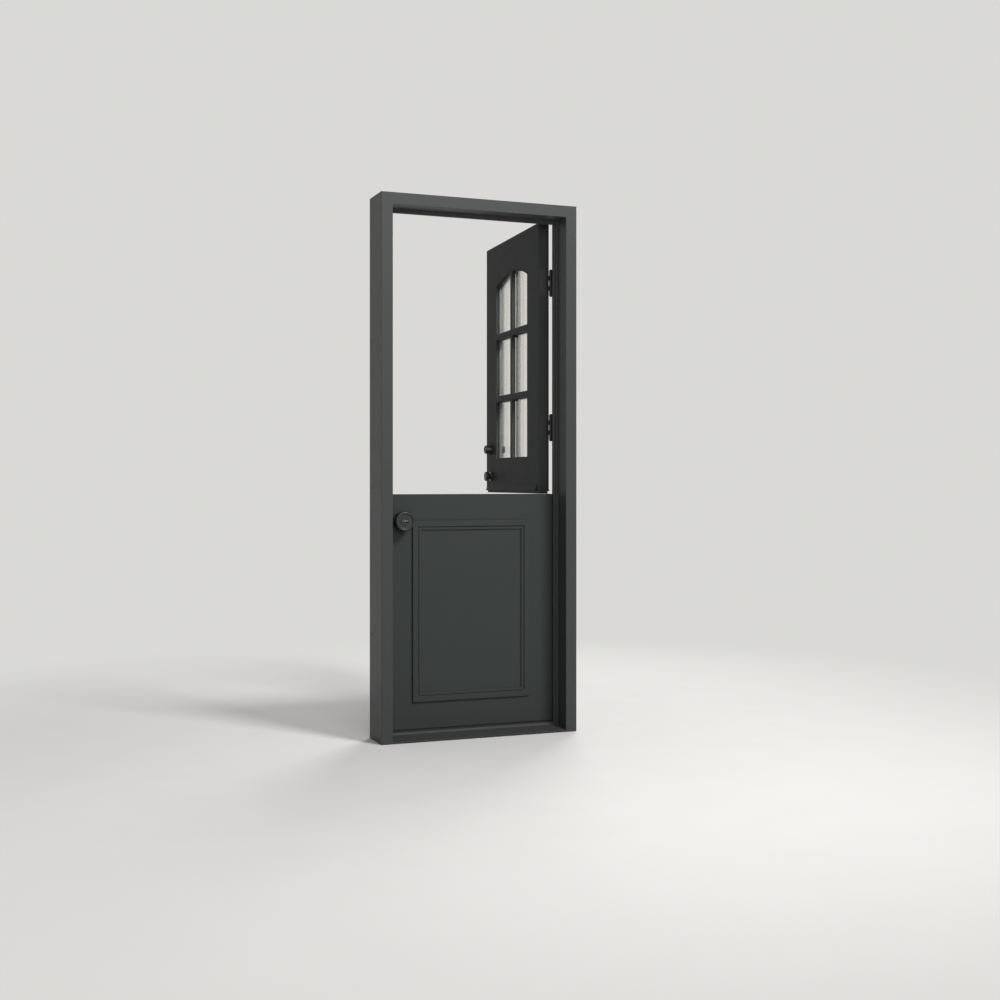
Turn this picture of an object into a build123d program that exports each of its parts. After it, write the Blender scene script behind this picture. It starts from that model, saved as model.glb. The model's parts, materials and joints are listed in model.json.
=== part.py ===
"""Dutch stable door in a steel frame: two leaves on one hinge line, the upper one stored open.

Millimetres. The origin is at the centre of the sill's underside. +X points to the hinge side,
+Y into the house and +Z up. The frame's outdoor face is at the lowest Y.
Every leaf piece is modelled closed, and the upper leaf is then swung open about its hinge pins.
"""

from build123d import *
import math
import os

# Frame, outside sizes and the section that runs round it
FRAME_WIDTH = 800.0
FRAME_HEIGHT = 2070.0
FRAME_DEPTH = 158.0
FACE_WIDTH = 45.0
STEP_DROP = 7.5
STEP_WIDTH = 9.0
STOP_DROP = 7.0
STOP_WIDTH = 13.5
REBATE_RECESS = 8.0
FRAME_WALL = 2.5
FRAME_EDGE_RADIUS = 1.5

# Leaves
LEAF_THICKNESS = 44.45
LEAF_SET_IN = 0.55
LEAF_GAP = 3.0
SEAL_GAP = 10.0
SEAL_WALL = 1.3
SEAL_FOOT = 2.0
LOWER_LEAF_TOP = 936.0
MEETING_GAP = 10.0
SKIN = 2.0
SKIN_EDGE_RADIUS = 0.8
CHANNEL_WALL = 2.0
CHANNEL_FLANGE = 30.0
REST_OPENING_DEG = 94.0

# Threshold
SILL_TOP = 25.0
SILL_NOSE = 7.0
SILL_SLOPE_TOP = 17.6
SILL_RISER_DEPTH = 83.0
SILL_RISER_RUN = 5.0
SILL_GROOVE_DEPTH = 4.0
SILL_GROOVE_WIDTH = 18.0
SILL_GROOVE_PITCH = 36.0
SILL_GROOVE_COUNT = 4
SILL_GAP = 6.0

# Rubber strips under each leaf
STRIP_BASE = 2.0
STRIP_FIN = 2.4
STRIP_INSET = 5.0
STRIP_END_GAP = 1.0
SWEEP_FINS = 4
MEETING_FINS = 3

# Butt hinges
HINGE_HEIGHT = 100.0
HINGE_PLATE = 2.5
HINGE_PLATE_WIDTH = 38.0
HINGE_CORNER_RADIUS = 5.0
HINGE_SCREW_COUNT = 4
HINGE_SCREW_END = 14.0
HINGE_SCREW_STAGGER = 7.0
KNUCKLE_RADIUS = 7.0
KNUCKLE_COUNT = 5
KNUCKLE_GAP = 0.4
PIN_RADIUS = 3.4
PIN_TIP = 6.0
PIN_HEAD_RADIUS = 6.0
PIN_DOME_RISE = 4.0
PIN_STANDOFF = 8.05
LOWER_HINGE_INSET = 180.0
UPPER_HINGE_BOTTOM_INSET = 257.0
UPPER_HINGE_TOP_INSET = 242.5
BACKING_THICKNESS = 6.0
BACKING_MARGIN = 10.0

# Arched window, six lights
WINDOW_WIDTH = 430.0
WINDOW_SILL_HEIGHT = 140.5
LIGHT_HEIGHT = 249.0
BAR_WIDTH = 26.0
ARCH_RISE = 42.0
GLASS_SETBACK = 14.0
PANE = 4.0
PANE_GAP = 12.0
SPACER_SHOW = 2.5
GLASS_BITE = 8.0
SURROUND_WALL = 3.0
BEAD_CHAMFER = 3.0

# Flared cap and seal at the foot of the upper leaf
CAP_FLOOR = 4.0
CAP_HEIGHT = 30.0
CAP_LIP = 6.0
CAP_PROUD = 10.0
CAP_ROOT = 1.5
CAP_WAIST_SHARE = 0.4
CAP_STOP_CLEARANCE = 3.5

# Raised panel moulding on the lower leaf
PANEL_SIDE = 117.0
PANEL_TOP = 103.0
PANEL_BOTTOM = 103.5
MOULDING_WIDTH = 39.5
MOULDING_HEIGHT = 9.0
MOULDING_SHOULDER = 4.0

# Locks
BACKSET = 70.0
LOWER_KNOB_DROP = 103.0
UPPER_LATCH_RISE = 62.0
DEADBOLT_RISE = 182.0
LATCH_THROW = 12.0
DEADBOLT_THROW = 25.0
LATCH_BOLT_WIDTH = 11.0
LATCH_BOLT_HEIGHT = 14.0
DEADBOLT_WIDTH = 12.0
DEADBOLT_HEIGHT = 20.0
BOLT_BEARING = 30.0
BOLT_RECESS = 0.5
BOLT_END_ROOM = 1.5
BOLT_NOSE = 2.5
BOLT_EDGE = 1.2
STRIKE_PLAY = 4.0
STRIKE_BOX_WALL = 2.0
LATCH_CASE_RADIUS = 11.5
DEADBOLT_CASE_RADIUS = 13.5
FACEPLATE = 2.5
FACEPLATE_WIDTH = 25.0
FACEPLATE_HEIGHT = 57.0
SPINDLE_RADIUS = 5.0
LARGE_BORE_RADIUS = 27.0
SMALL_BORE_RADIUS = 16.0
LARGE_ROSE_RADIUS = 33.0
SMALL_ROSE_RADIUS = 22.0
ROSE_HEIGHT = 8.0
SMALL_ROSE_HEIGHT = 6.0
ROSE_SPIGOT = 6.0
LARGE_KNOB_RADIUS = 32.5
LARGE_KNOB_LENGTH = 60.0
SMALL_KNOB_RADIUS = 21.0
SMALL_KNOB_LENGTH = 30.0
SLEEVE_RADIUS = 10.0
STEM_RADIUS = 7.0
SOCKET_START = 7.0
KEYWAY_WIDTH = 9.5
KEYWAY_HEIGHT = 2.2
KEYWAY_DEPTH = 3.0

# Bolt that ties the two leaves together, on the indoor face
TIE_BOLT_X = -180.0
TIE_BOLT_RADIUS = 5.0
TIE_BOLT_THROW = 30.0
TIE_BOLT_STANDOFF = 17.0
TIE_BOLT_LIFT = 2.0
TIE_PLATE = 3.0
TIE_PLATE_HALF = 20.0
TIE_PLATE_CORNER = 4.0
TIE_LOOP = 14.0
TIE_LOOP_HALF = 9.0
TIE_GUIDE_LOW = 36.0
TIE_GUIDE_HEIGHT = 84.0
TIE_HANDLE_DROP = 57.0
TIE_HANDLE_REACH = 24.0
TIE_HANDLE_STEM = 3.0
TIE_HANDLE_BALL = 6.5
TIE_STRAP = 2.5
TIE_STRAP_PLAY = 0.5
TIE_KEEPER_DROP = 2.0
TIE_KEEPER_HEIGHT = 34.0
TIE_KEEPER_TAIL = 6.0

# Fixings
ANCHOR_HOLE_RADIUS = 4.5
ANCHOR_FIRST = 400.0
ANCHOR_SPACING = 560.0
ANCHOR_COUNT = 3
SCREW_RADIUS = 2.2
SCREW_HEAD_RADIUS = 4.2
SCREW_HEAD_HEIGHT = 2.0
SCREW_LENGTH = 7.5
SCREW_POINT = 1.0
SCREW_POINT_RADIUS = 0.6
SCREW_SPREAD = 21.0

# Clearances, and how far a cutting shape runs past the face that it opens
RUNNING = 0.05
SEAT = 0.1
SOFT = 0.3
OVERCUT = 1.0

# Places that follow from the sizes above
FRONT_Y = -FRAME_DEPTH / 2
BACK_Y = FRAME_DEPTH / 2
LEAF_BACK_Y = BACK_Y - LEAF_SET_IN
LEAF_FRONT_Y = LEAF_BACK_Y - LEAF_THICKNESS
LEAF_MID_Y = (LEAF_FRONT_Y + LEAF_BACK_Y) / 2
STOP_BACK_Y = LEAF_FRONT_Y - SEAL_GAP
STOP_FRONT_Y = STOP_BACK_Y - STOP_WIDTH
STEP_FRONT_Y = STOP_FRONT_Y - STEP_WIDTH
STOP_INSET = FACE_WIDTH + STEP_DROP + STOP_DROP
REBATE_INSET = FACE_WIDTH - REBATE_RECESS
HALF_FRAME = FRAME_WIDTH / 2
REBATE_X = HALF_FRAME - REBATE_INSET
STOP_X = HALF_FRAME - STOP_INSET
HALF_LEAF = REBATE_X - LEAF_GAP
LEAF_TOP = FRAME_HEIGHT - REBATE_INSET - LEAF_GAP
LEAF_BOTTOM = SILL_TOP + SILL_GAP
CAP_BOTTOM = LOWER_LEAF_TOP + MEETING_GAP
UPPER_SLAB_BOTTOM = CAP_BOTTOM + CAP_FLOOR
CHANNEL_FRONT_Y = LEAF_FRONT_Y + SKIN
CHANNEL_BACK_Y = LEAF_BACK_Y - SKIN
PIN_X = HALF_LEAF + LEAF_GAP / 2
PIN_Y = LEAF_BACK_Y + PIN_STANDOFF
LOCK_X = -HALF_LEAF + BACKSET
LOWER_LATCH_Z = LOWER_LEAF_TOP - LOWER_KNOB_DROP
UPPER_LATCH_Z = CAP_BOTTOM + UPPER_LATCH_RISE
DEADBOLT_Z = CAP_BOTTOM + DEADBOLT_RISE
LATCH_LENGTH = LATCH_THROW + BOLT_BEARING
DEADBOLT_LENGTH = DEADBOLT_THROW + BOLT_BEARING
LATCH_BOLT = (LATCH_BOLT_WIDTH, LATCH_BOLT_HEIGHT, LATCH_LENGTH)
DEADBOLT = (DEADBOLT_WIDTH, DEADBOLT_HEIGHT, DEADBOLT_LENGTH)
LOWER_HINGES = (LEAF_BOTTOM + LOWER_HINGE_INSET, LOWER_LEAF_TOP - LOWER_HINGE_INSET)
UPPER_HINGES = (CAP_BOTTOM + UPPER_HINGE_BOTTOM_INSET, LEAF_TOP - UPPER_HINGE_TOP_INSET)
WINDOW_BOTTOM = CAP_BOTTOM + WINDOW_SILL_HEIGHT
WINDOW_PEAK = WINDOW_BOTTOM + 3 * LIGHT_HEIGHT + 2 * BAR_WIDTH
HALF_WINDOW = WINDOW_WIDTH / 2
ARCH_RADIUS = (HALF_WINDOW**2 + ARCH_RISE**2) / (2 * ARCH_RISE)
ARCH_CENTRE_Z = WINDOW_PEAK - ARCH_RADIUS
GLASS_FRONT_Y = LEAF_FRONT_Y + GLASS_SETBACK
SPACER_FRONT_Y = GLASS_FRONT_Y + PANE
INNER_PANE_Y = SPACER_FRONT_Y + PANE_GAP
BEAD_FRONT_Y = INNER_PANE_Y + PANE + SOFT
TIE_BOLT_Y = LEAF_BACK_Y + TIE_BOLT_STANDOFF
SPINDLE_REACH = LEAF_THICKNESS + ROSE_SPIGOT
LOWER_LOCKS = ((LOWER_LATCH_Z, LATCH_CASE_RADIUS, LARGE_BORE_RADIUS),)
UPPER_LOCKS = (
    (UPPER_LATCH_Z, LATCH_CASE_RADIUS, SMALL_BORE_RADIUS),
    (DEADBOLT_Z, DEADBOLT_CASE_RADIUS, SMALL_BORE_RADIUS),
)


def outline(points, arcs=None):
    """A closed face through points, with the edge after point i an arc of radius arcs[i]."""
    arcs = arcs or {}
    edges = []
    for index, start in enumerate(points):
        end = points[(index + 1) % len(points)]
        if index in arcs:
            edges.append(RadiusArc(start, end, arcs[index]))
        else:
            edges.append(Line(start, end))
    return make_face(edges)


def block(x0, x1, y0, y1, z0, z1):
    """A box between two corners."""
    centre = Pos((x0 + x1) / 2, (y0 + y1) / 2, (z0 + z1) / 2)
    return centre * Box(abs(x1 - x0), abs(y1 - y0), abs(z1 - z0))


def rod_x(radius, x0, x1, y, z):
    """A round bar along X."""
    return Pos((x0 + x1) / 2, y, z) * Rot(0, 90, 0) * Cylinder(radius, abs(x1 - x0))


def rod_y(radius, y0, y1, x, z):
    """A round bar along Y."""
    return Pos(x, (y0 + y1) / 2, z) * Rot(90, 0, 0) * Cylinder(radius, abs(y1 - y0))


def rod_z(radius, z0, z1, x, y):
    """A round bar along Z."""
    return Pos(x, y, (z0 + z1) / 2) * Cylinder(radius, abs(z1 - z0))


def frame_outline(grow=0.0):
    """The frame's outer section as (distance in from the outside face, Y) points."""
    return [
        (-grow, FRONT_Y - grow),
        (FACE_WIDTH + grow, FRONT_Y - grow),
        (FACE_WIDTH + grow, STEP_FRONT_Y - grow),
        (FACE_WIDTH + STEP_DROP + grow, STEP_FRONT_Y - grow),
        (FACE_WIDTH + STEP_DROP + grow, STOP_FRONT_Y - grow),
        (STOP_INSET + grow, STOP_FRONT_Y - grow),
        (STOP_INSET + grow, STOP_BACK_Y + grow),
        (REBATE_INSET + grow, STOP_BACK_Y + grow),
        (REBATE_INSET + grow, BACK_Y + grow),
        (-grow, BACK_Y + grow),
    ]


def tube_outline(grow=0.0):
    """Section of the rectangular tube behind the frame's face, in the same terms."""
    return [
        (-grow, FRONT_Y - grow),
        (REBATE_INSET + grow, FRONT_Y - grow),
        (REBATE_INSET + grow, BACK_Y + grow),
        (-grow, BACK_Y + grow),
    ]


def stop_outline(grow=0.0):
    """Section of the folded lip, step and stop, which stay open where the tube closes them."""
    return [(REBATE_INSET, FRONT_Y - grow)] + frame_outline(grow)[1:7] + [(REBATE_INSET, STOP_BACK_Y + grow)]


def hollow_section(outline_of, eased, place):
    """A hollow section with the corners in eased rounded, drawn where place puts each point."""
    outer = make_face(Polyline([place(u, y) for u, y in outline_of()], close=True))
    inner = make_face(Polyline([place(u, y) for u, y in outline_of(-FRAME_WALL)], close=True))
    spots = [Vector(*place(u, y)) for u, y in eased]
    corners = [v for v in outer.vertices() if any((v.center() - spot).length < 0.01 for spot in spots)]
    return fillet(corners, FRAME_EDGE_RADIUS) - inner


def tube_section(place):
    """The tube, round at every corner but the one where the folded stop is welded flush."""
    points = tube_outline()
    return hollow_section(tube_outline, [points[0], points[2], points[3]], place)


def stop_section(place):
    """The folded stop, round at each bend that faces outwards."""
    points = stop_outline()
    return hollow_section(stop_outline, [points[1], points[3], points[5], points[6]], place)


def mitre(side):
    """The plane that cuts a top corner, facing the head."""
    return Plane(origin=(side * HALF_FRAME, 0, FRAME_HEIGHT), z_dir=(-side, 0, 1))


def upright(section_of, side):
    """One upright length, mitred at its top. Side is 1 on the hinge side and -1 on the lock side."""
    section = section_of(lambda u, y: (side * (HALF_FRAME - u), y, 0))
    return split(extrude(section, FRAME_HEIGHT, dir=(0, 0, 1)), mitre(side), keep=Keep.BOTTOM)


def crosswise(section_of):
    """The length across the head, mitred at both ends."""
    section = section_of(lambda u, y: (0, y, FRAME_HEIGHT - u))
    head = extrude(section, HALF_FRAME, dir=(1, 0, 0), both=True)
    for side in (1, -1):
        head = split(head, mitre(side), keep=Keep.TOP)
    return head


def jamb_plate(side, z, height, thickness):
    """A plate welded inside a jamb's tube, behind a cut in the wall that faces the leaf."""
    half = height / 2 + BACKING_MARGIN
    x0 = side * (REBATE_X + FRAME_WALL)
    x1 = x0 + side * thickness
    y0, y1 = STOP_BACK_Y + FRAME_WALL, BACK_Y - FRAME_WALL
    return block(min(x0, x1), max(x0, x1), y0, y1, z - half, z + half)


def anchor_holes(side):
    """Holes through both walls of a jamb, for the screws into the wall."""
    holes = []
    for index in range(ANCHOR_COUNT):
        z = ANCHOR_FIRST + index * ANCHOR_SPACING
        x0, x1 = side * (REBATE_X - OVERCUT), side * (HALF_FRAME + OVERCUT)
        holes.append(rod_x(ANCHOR_HOLE_RADIUS, x0, x1, LEAF_MID_Y, z))
    return holes


def frame_hinge_mortise(z):
    """The cut in the hinge jamb that a hinge plate lies in."""
    half = HINGE_HEIGHT / 2 + SEAT
    y0 = LEAF_BACK_Y - HINGE_PLATE_WIDTH - SEAT
    return block(REBATE_X - OVERCUT, REBATE_X + HINGE_PLATE, y0, BACK_Y + OVERCUT, z - half, z + half)


def leaf_hinge_mortise(z):
    """The cut in a leaf's hinge edge that a hinge plate lies in."""
    half = HINGE_HEIGHT / 2 + SEAT
    x0 = HALF_LEAF - HINGE_PLATE - SEAT
    y0 = LEAF_BACK_Y - HINGE_PLATE_WIDTH - SEAT
    return block(x0, HALF_LEAF + OVERCUT, y0, LEAF_BACK_Y + OVERCUT, z - half, z + half)


def hinge_jamb():
    """Upright tube on the hinge side, with four mortises and a tapped plate behind each."""
    body = upright(tube_section, 1)
    for z in LOWER_HINGES + UPPER_HINGES:
        body += jamb_plate(1, z, HINGE_HEIGHT, BACKING_THICKNESS)
    for z in LOWER_HINGES + UPPER_HINGES:
        body -= frame_hinge_mortise(z)
        for hole in hinge_screw_places(z, frame_side=True):
            body -= hole * screw_hole()
    return body - anchor_holes(1)


def strike_depth(throw):
    """How deep a bolt's pocket is, measured from the jamb's face: the bolt's reach and a little room."""
    return throw - LEAF_GAP - BOLT_RECESS + BOLT_END_ROOM


def strike_pocket(z, width, height, throw):
    """The blind hole that a bolt enters, a little wider and higher than the bolt."""
    half_w = (width + STRIKE_PLAY) / 2
    half_h = (height + STRIKE_PLAY) / 2
    x0, x1 = -REBATE_X - strike_depth(throw), -REBATE_X + OVERCUT
    return block(x0, x1, LEAF_MID_Y - half_w, LEAF_MID_Y + half_w, z - half_h, z + half_h)


def strike_sizes():
    """Height of each strike's bolt, and the bolt's width, height and throw."""
    return {
        "lower_latch_strike": (LOWER_LATCH_Z, LATCH_BOLT_WIDTH, LATCH_BOLT_HEIGHT, LATCH_THROW),
        "upper_latch_strike": (UPPER_LATCH_Z, LATCH_BOLT_WIDTH, LATCH_BOLT_HEIGHT, LATCH_THROW),
        "deadbolt_strike": (DEADBOLT_Z, DEADBOLT_WIDTH, DEADBOLT_HEIGHT, DEADBOLT_THROW),
    }


def plate_outline(height, width, grow=0.0):
    """A small plate's outline in the YZ plane, with rounded ends."""
    return Plane.YZ * RectangleRounded(width + 2 * grow, height + 2 * grow, width / 5 + grow)


def plate_x(height, width, thickness, x, z, grow=0.0):
    """A rounded plate of the given thickness whose low X face is at x."""
    plate = extrude(plate_outline(height, width, grow), thickness, dir=(1, 0, 0))
    return Pos(x, LEAF_MID_Y, z) * plate


def latch_jamb():
    """Upright tube on the lock side, with a recess and a closed box behind it for each bolt."""
    body = upright(tube_section, -1)
    for z, _, _, throw in strike_sizes().values():
        thickness = strike_depth(throw) + STRIKE_BOX_WALL - FRAME_WALL
        body += jamb_plate(-1, z, FACEPLATE_HEIGHT, thickness)
    for z, width, height, throw in strike_sizes().values():
        body -= plate_x(FACEPLATE_HEIGHT, FACEPLATE_WIDTH, FACEPLATE + OVERCUT, -REBATE_X - FACEPLATE, z, SEAT)
        body -= strike_pocket(z, width, height, throw)
        for place in edge_screw_places(-REBATE_X, z, -1):
            body -= place * screw_hole()
    return body - anchor_holes(-1)


def strike(z, width, height, throw):
    """A flat strike plate with its bolt hole and two screw holes."""
    plate = plate_x(FACEPLATE_HEIGHT, FACEPLATE_WIDTH, FACEPLATE, -REBATE_X - FACEPLATE, z)
    plate -= strike_pocket(z, width, height, throw)
    for place in edge_screw_places(-REBATE_X, z, -1):
        plate -= place * screw_hole()
    return plate


def threshold():
    """Sloped sill between the jambs, with a riser under the leaf and grooves beneath."""
    riser = FRONT_Y + SILL_RISER_DEPTH
    points = [
        (FRONT_Y, 0),
        (FRONT_Y, SILL_NOSE),
        (riser, SILL_SLOPE_TOP),
        (riser + SILL_RISER_RUN, SILL_TOP),
        (BACK_Y, SILL_TOP),
        (BACK_Y, 0),
    ]
    profile = Plane.YZ * make_face(Polyline(points, close=True))
    body = extrude(profile, REBATE_X, dir=(1, 0, 0), both=True)
    for side in (1, -1):
        footprint = [(side * (HALF_FRAME - u), y) for u, y in frame_outline(SEAT)]
        body -= extrude(make_face(Polyline(footprint, close=True)), SILL_TOP + OVERCUT, dir=(0, 0, 1))
    half = SILL_GROOVE_WIDTH / 2
    for index in range(SILL_GROOVE_COUNT):
        y = (index - (SILL_GROOVE_COUNT - 1) / 2) * SILL_GROOVE_PITCH
        body -= block(-REBATE_X, REBATE_X, y - half, y + half, -OVERCUT, SILL_GROOVE_DEPTH)
    edges = body.edges().filter_by(Axis.X).filter_by(lambda e: e.center().Z > SILL_NOSE - OVERCUT)
    return fillet([e for e in edges if e.center().Y < STEP_FRONT_Y], FRAME_EDGE_RADIUS)


def seal_section(place):
    """A flat foot against the stop and a hollow bulb towards the leaf."""
    foot = SEAL_FOOT
    width = STOP_INSET - REBATE_INSET - LEAF_GAP - 2 * FRAME_EDGE_RADIUS
    tip = SEAL_GAP - SOFT
    middle = REBATE_INSET + LEAF_GAP + FRAME_EDGE_RADIUS + width / 2
    bulb = (tip - foot + SEAL_WALL / 2) / 2
    low = middle - width / 2
    high = middle + width / 2
    base = STOP_BACK_Y
    points = [(low, base), (high, base), (high, base + foot), (low, base + foot)]
    strip = make_face(Polyline([place(u, y) for u, y in points], close=True))
    return strip, place(middle, base + tip - bulb), bulb


def seal_run(place, direction, length, both):
    """One straight run of the bulb seal."""
    strip, centre, bulb = seal_section(place)
    plane = Plane(origin=centre, z_dir=direction)
    ring = plane * (Circle(bulb) - Circle(bulb - SEAL_WALL))
    run = extrude(strip, length, dir=direction, both=both)
    tube = extrude(ring, length, dir=direction, both=both)
    return run + tube


def frame_seal():
    """Bulb seal on the stops, up both jambs and across the head in one length."""
    runs = []
    for side in (1, -1):
        run = seal_run(lambda u, y: (side * (HALF_FRAME - u), y, 0), (0, 0, 1), FRAME_HEIGHT, False)
        run = split(run, mitre(side), keep=Keep.BOTTOM)
        floor = Plane(origin=(0, 0, SILL_TOP + SOFT), z_dir=(0, 0, 1))
        runs.append(split(run, floor, keep=Keep.TOP))
    head = seal_run(lambda u, y: (0, y, FRAME_HEIGHT - u), (1, 0, 0), HALF_FRAME, True)
    for side in (1, -1):
        head = split(head, mitre(side), keep=Keep.TOP)
    return head + runs[0] + runs[1]


def screw():
    """A countersunk screw that points down from its head's top."""
    points = [
        (0, 0),
        (SCREW_HEAD_RADIUS, 0),
        (SCREW_RADIUS, -SCREW_HEAD_HEIGHT),
        (SCREW_RADIUS, SCREW_POINT - SCREW_LENGTH),
        (SCREW_POINT_RADIUS, -SCREW_LENGTH),
        (0, -SCREW_LENGTH),
    ]
    return revolve(Plane.XZ * make_face(Polyline(points, close=True)), Axis.Z)


def screw_hole():
    """The countersunk hole that a screw sits in, a little larger all round."""
    points = [
        (0, OVERCUT),
        (SCREW_HEAD_RADIUS + SEAT, OVERCUT),
        (SCREW_HEAD_RADIUS + SEAT, 0),
        (SCREW_RADIUS + SEAT, -SCREW_HEAD_HEIGHT),
        (SCREW_RADIUS + SEAT, -SCREW_LENGTH - SEAT),
        (0, -SCREW_LENGTH - SEAT),
    ]
    return revolve(Plane.XZ * make_face(Polyline(points, close=True)), Axis.Z)


def hinge_screw_places(z, frame_side):
    """Staggered screws in a hinge plate, heads towards the gap."""
    facing = 1 if frame_side else -1
    x = REBATE_X if frame_side else HALF_LEAF
    spread = HINGE_HEIGHT / 2 - HINGE_SCREW_END
    places = []
    for index in range(HINGE_SCREW_COUNT):
        height = z + spread * (2 * index / (HINGE_SCREW_COUNT - 1) - 1)
        stagger = HINGE_SCREW_STAGGER if index % 2 else -HINGE_SCREW_STAGGER
        y = LEAF_BACK_Y - HINGE_PLATE_WIDTH / 2 + stagger
        places.append(Pos(x, y, height) * Rot(0, -90 * facing, 0))
    return places


def edge_screw_places(x, z, facing):
    """Two screws above and below a bolt, heads towards the gap. Facing 1 looks along +X."""
    return [Pos(x, LEAF_MID_Y, z + side * SCREW_SPREAD) * Rot(0, -90 * facing, 0) for side in (1, -1)]


def knuckles(z, mine):
    """Z spans of the knuckles whose index is in mine."""
    pitch = HINGE_HEIGHT / KNUCKLE_COUNT
    low = z - HINGE_HEIGHT / 2
    return [(low + i * pitch + KNUCKLE_GAP / 2, low + (i + 1) * pitch - KNUCKLE_GAP / 2) for i in mine]


def hinge_plate(z, frame_side):
    """Half of a butt hinge: a mortised plate whose edge rolls into its own knuckles."""
    if frame_side:
        x0, x1, edge = REBATE_X, REBATE_X + HINGE_PLATE, BACK_Y
        mine = range(0, KNUCKLE_COUNT, 2)
    else:
        x0, x1, edge = HALF_LEAF - HINGE_PLATE, HALF_LEAF, LEAF_BACK_Y
        mine = range(1, KNUCKLE_COUNT, 2)
    y0 = LEAF_BACK_Y - HINGE_PLATE_WIDTH
    plate = block(x0, x1, y0, edge, z - HINGE_HEIGHT / 2, z + HINGE_HEIGHT / 2)
    plate = fillet(plate.edges().filter_by(Axis.X).group_by(Axis.Y)[0], HINGE_CORNER_RADIUS)
    for z0, z1 in knuckles(z, mine):
        plate += block(x0, x1, edge - OVERCUT, PIN_Y, z0, z1)
        plate += rod_z(KNUCKLE_RADIUS, z0, z1, PIN_X, PIN_Y)
    plate -= rod_z(PIN_RADIUS + RUNNING, z - HINGE_HEIGHT, z + HINGE_HEIGHT, PIN_X, PIN_Y)
    for place in hinge_screw_places(z, frame_side):
        plate -= place * screw_hole()
    return plate


def hinge_pin(z):
    """A pin with a domed tip at each end."""
    seat = HINGE_HEIGHT / 2 + SEAT
    tip = HINGE_HEIGHT / 2 + PIN_TIP
    dome = PIN_HEAD_RADIUS
    rise = PIN_DOME_RISE
    sphere = (dome**2 + rise**2) / (2 * rise)
    points = [
        (0, -tip),
        (dome, rise - tip),
        (dome, -seat),
        (PIN_RADIUS, -seat),
        (PIN_RADIUS, seat),
        (dome, seat),
        (dome, tip - rise),
        (0, tip),
    ]
    pin = turned(points, {0: -sphere, 6: -sphere})
    return Pos(PIN_X, PIN_Y, z) * Rot(90, 0, 0) * pin


def window_prism(grow, y0, y1):
    """The arched opening, larger by grow all round, between two depths."""
    half = HALF_WINDOW + grow
    radius = ARCH_RADIUS + grow
    spring = ARCH_CENTRE_Z + math.sqrt(radius**2 - half**2)
    bottom = WINDOW_BOTTOM - grow
    sides = Polyline((-half, spring), (-half, bottom), (half, bottom), (half, spring))
    arch = ThreePointArc((half, spring), (0, ARCH_CENTRE_Z + radius), (-half, spring))
    face = Plane.XZ * make_face([*sides.edges(), arch])
    return Pos(0, y0, 0) * extrude(face, y1 - y0, dir=(0, 1, 0))


def leaf_slab(y0, y1, bottom, top, inset=0.0):
    """A flat slab as wide as a leaf, less inset all round."""
    half = HALF_LEAF - inset
    return block(-half, half, y0, y1, bottom + inset, top - inset)


def skin(y0, outside_y, bottom, top):
    """A leaf's face sheet, its outside edges eased."""
    sheet = leaf_slab(y0, y0 + SKIN, bottom, top)
    rim = [e for e in sheet.edges() if abs(e.center().Y - outside_y) < 0.01]
    return fillet(rim, SKIN_EDGE_RADIUS)


def leaf_channel(bottom, top, hinges, locks):
    """The welded channel round a leaf's edge, open towards the core."""
    ring = leaf_slab(CHANNEL_FRONT_Y, CHANNEL_BACK_Y, bottom, top)
    ring -= leaf_slab(CHANNEL_FRONT_Y, CHANNEL_BACK_Y, bottom, top, CHANNEL_FLANGE)
    y0 = CHANNEL_FRONT_Y + CHANNEL_WALL
    y1 = CHANNEL_BACK_Y - CHANNEL_WALL
    ring -= leaf_slab(y0, y1, bottom, top, CHANNEL_WALL)
    for plate in leaf_backings(hinges, locks):
        ring += plate
    for z in hinges:
        ring -= leaf_hinge_mortise(z)
        for place in hinge_screw_places(z, frame_side=False):
            ring -= place * screw_hole()
    for z, radius, _ in locks:
        outside = -HALF_LEAF - OVERCUT
        ring -= plate_x(FACEPLATE_HEIGHT, FACEPLATE_WIDTH, FACEPLATE + OVERCUT, outside, z, SEAT)
        ring -= rod_x(radius + SEAT, outside, LOCK_X, LEAF_MID_Y, z)
        for place in edge_screw_places(-HALF_LEAF, z, 1):
            ring -= place * screw_hole()
    return ring


def leaf_backings(hinges, locks, grow=0.0):
    """The tapped plates inside a leaf's channel, behind its hinges and lock faceplates."""
    y0 = CHANNEL_FRONT_Y + CHANNEL_WALL
    y1 = CHANNEL_BACK_Y - CHANNEL_WALL
    inner = HALF_LEAF - CHANNEL_WALL
    plates = []
    for z in hinges:
        half = HINGE_HEIGHT / 2 + BACKING_MARGIN + grow
        plates.append(block(inner - BACKING_THICKNESS - grow, inner, y0, y1, z - half, z + half))
    for z, _, _ in locks:
        half = FACEPLATE_HEIGHT / 2 + BACKING_MARGIN + grow
        plates.append(block(-inner, -inner + BACKING_THICKNESS + grow, y0, y1, z - half, z + half))
    return plates


def leaf_core(bottom, top, hinges, locks):
    """The foam slab between the skins, with a lip that reaches into the channel."""
    core = leaf_slab(CHANNEL_FRONT_Y, CHANNEL_BACK_Y, bottom, top, CHANNEL_FLANGE + SEAT)
    y0 = CHANNEL_FRONT_Y + CHANNEL_WALL + SEAT
    y1 = CHANNEL_BACK_Y - CHANNEL_WALL - SEAT
    core += leaf_slab(y0, y1, bottom, top, CHANNEL_WALL + SEAT)
    for plate in leaf_backings(hinges, locks, SEAT):
        core -= plate
    for z, radius, bore in locks:
        core -= rod_x(radius + SEAT, -HALF_LEAF, LOCK_X + radius + 2 * SEAT, LEAF_MID_Y, z)
        core -= rod_y(bore, LEAF_FRONT_Y, LEAF_BACK_Y, LOCK_X, z)
    return core


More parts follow.
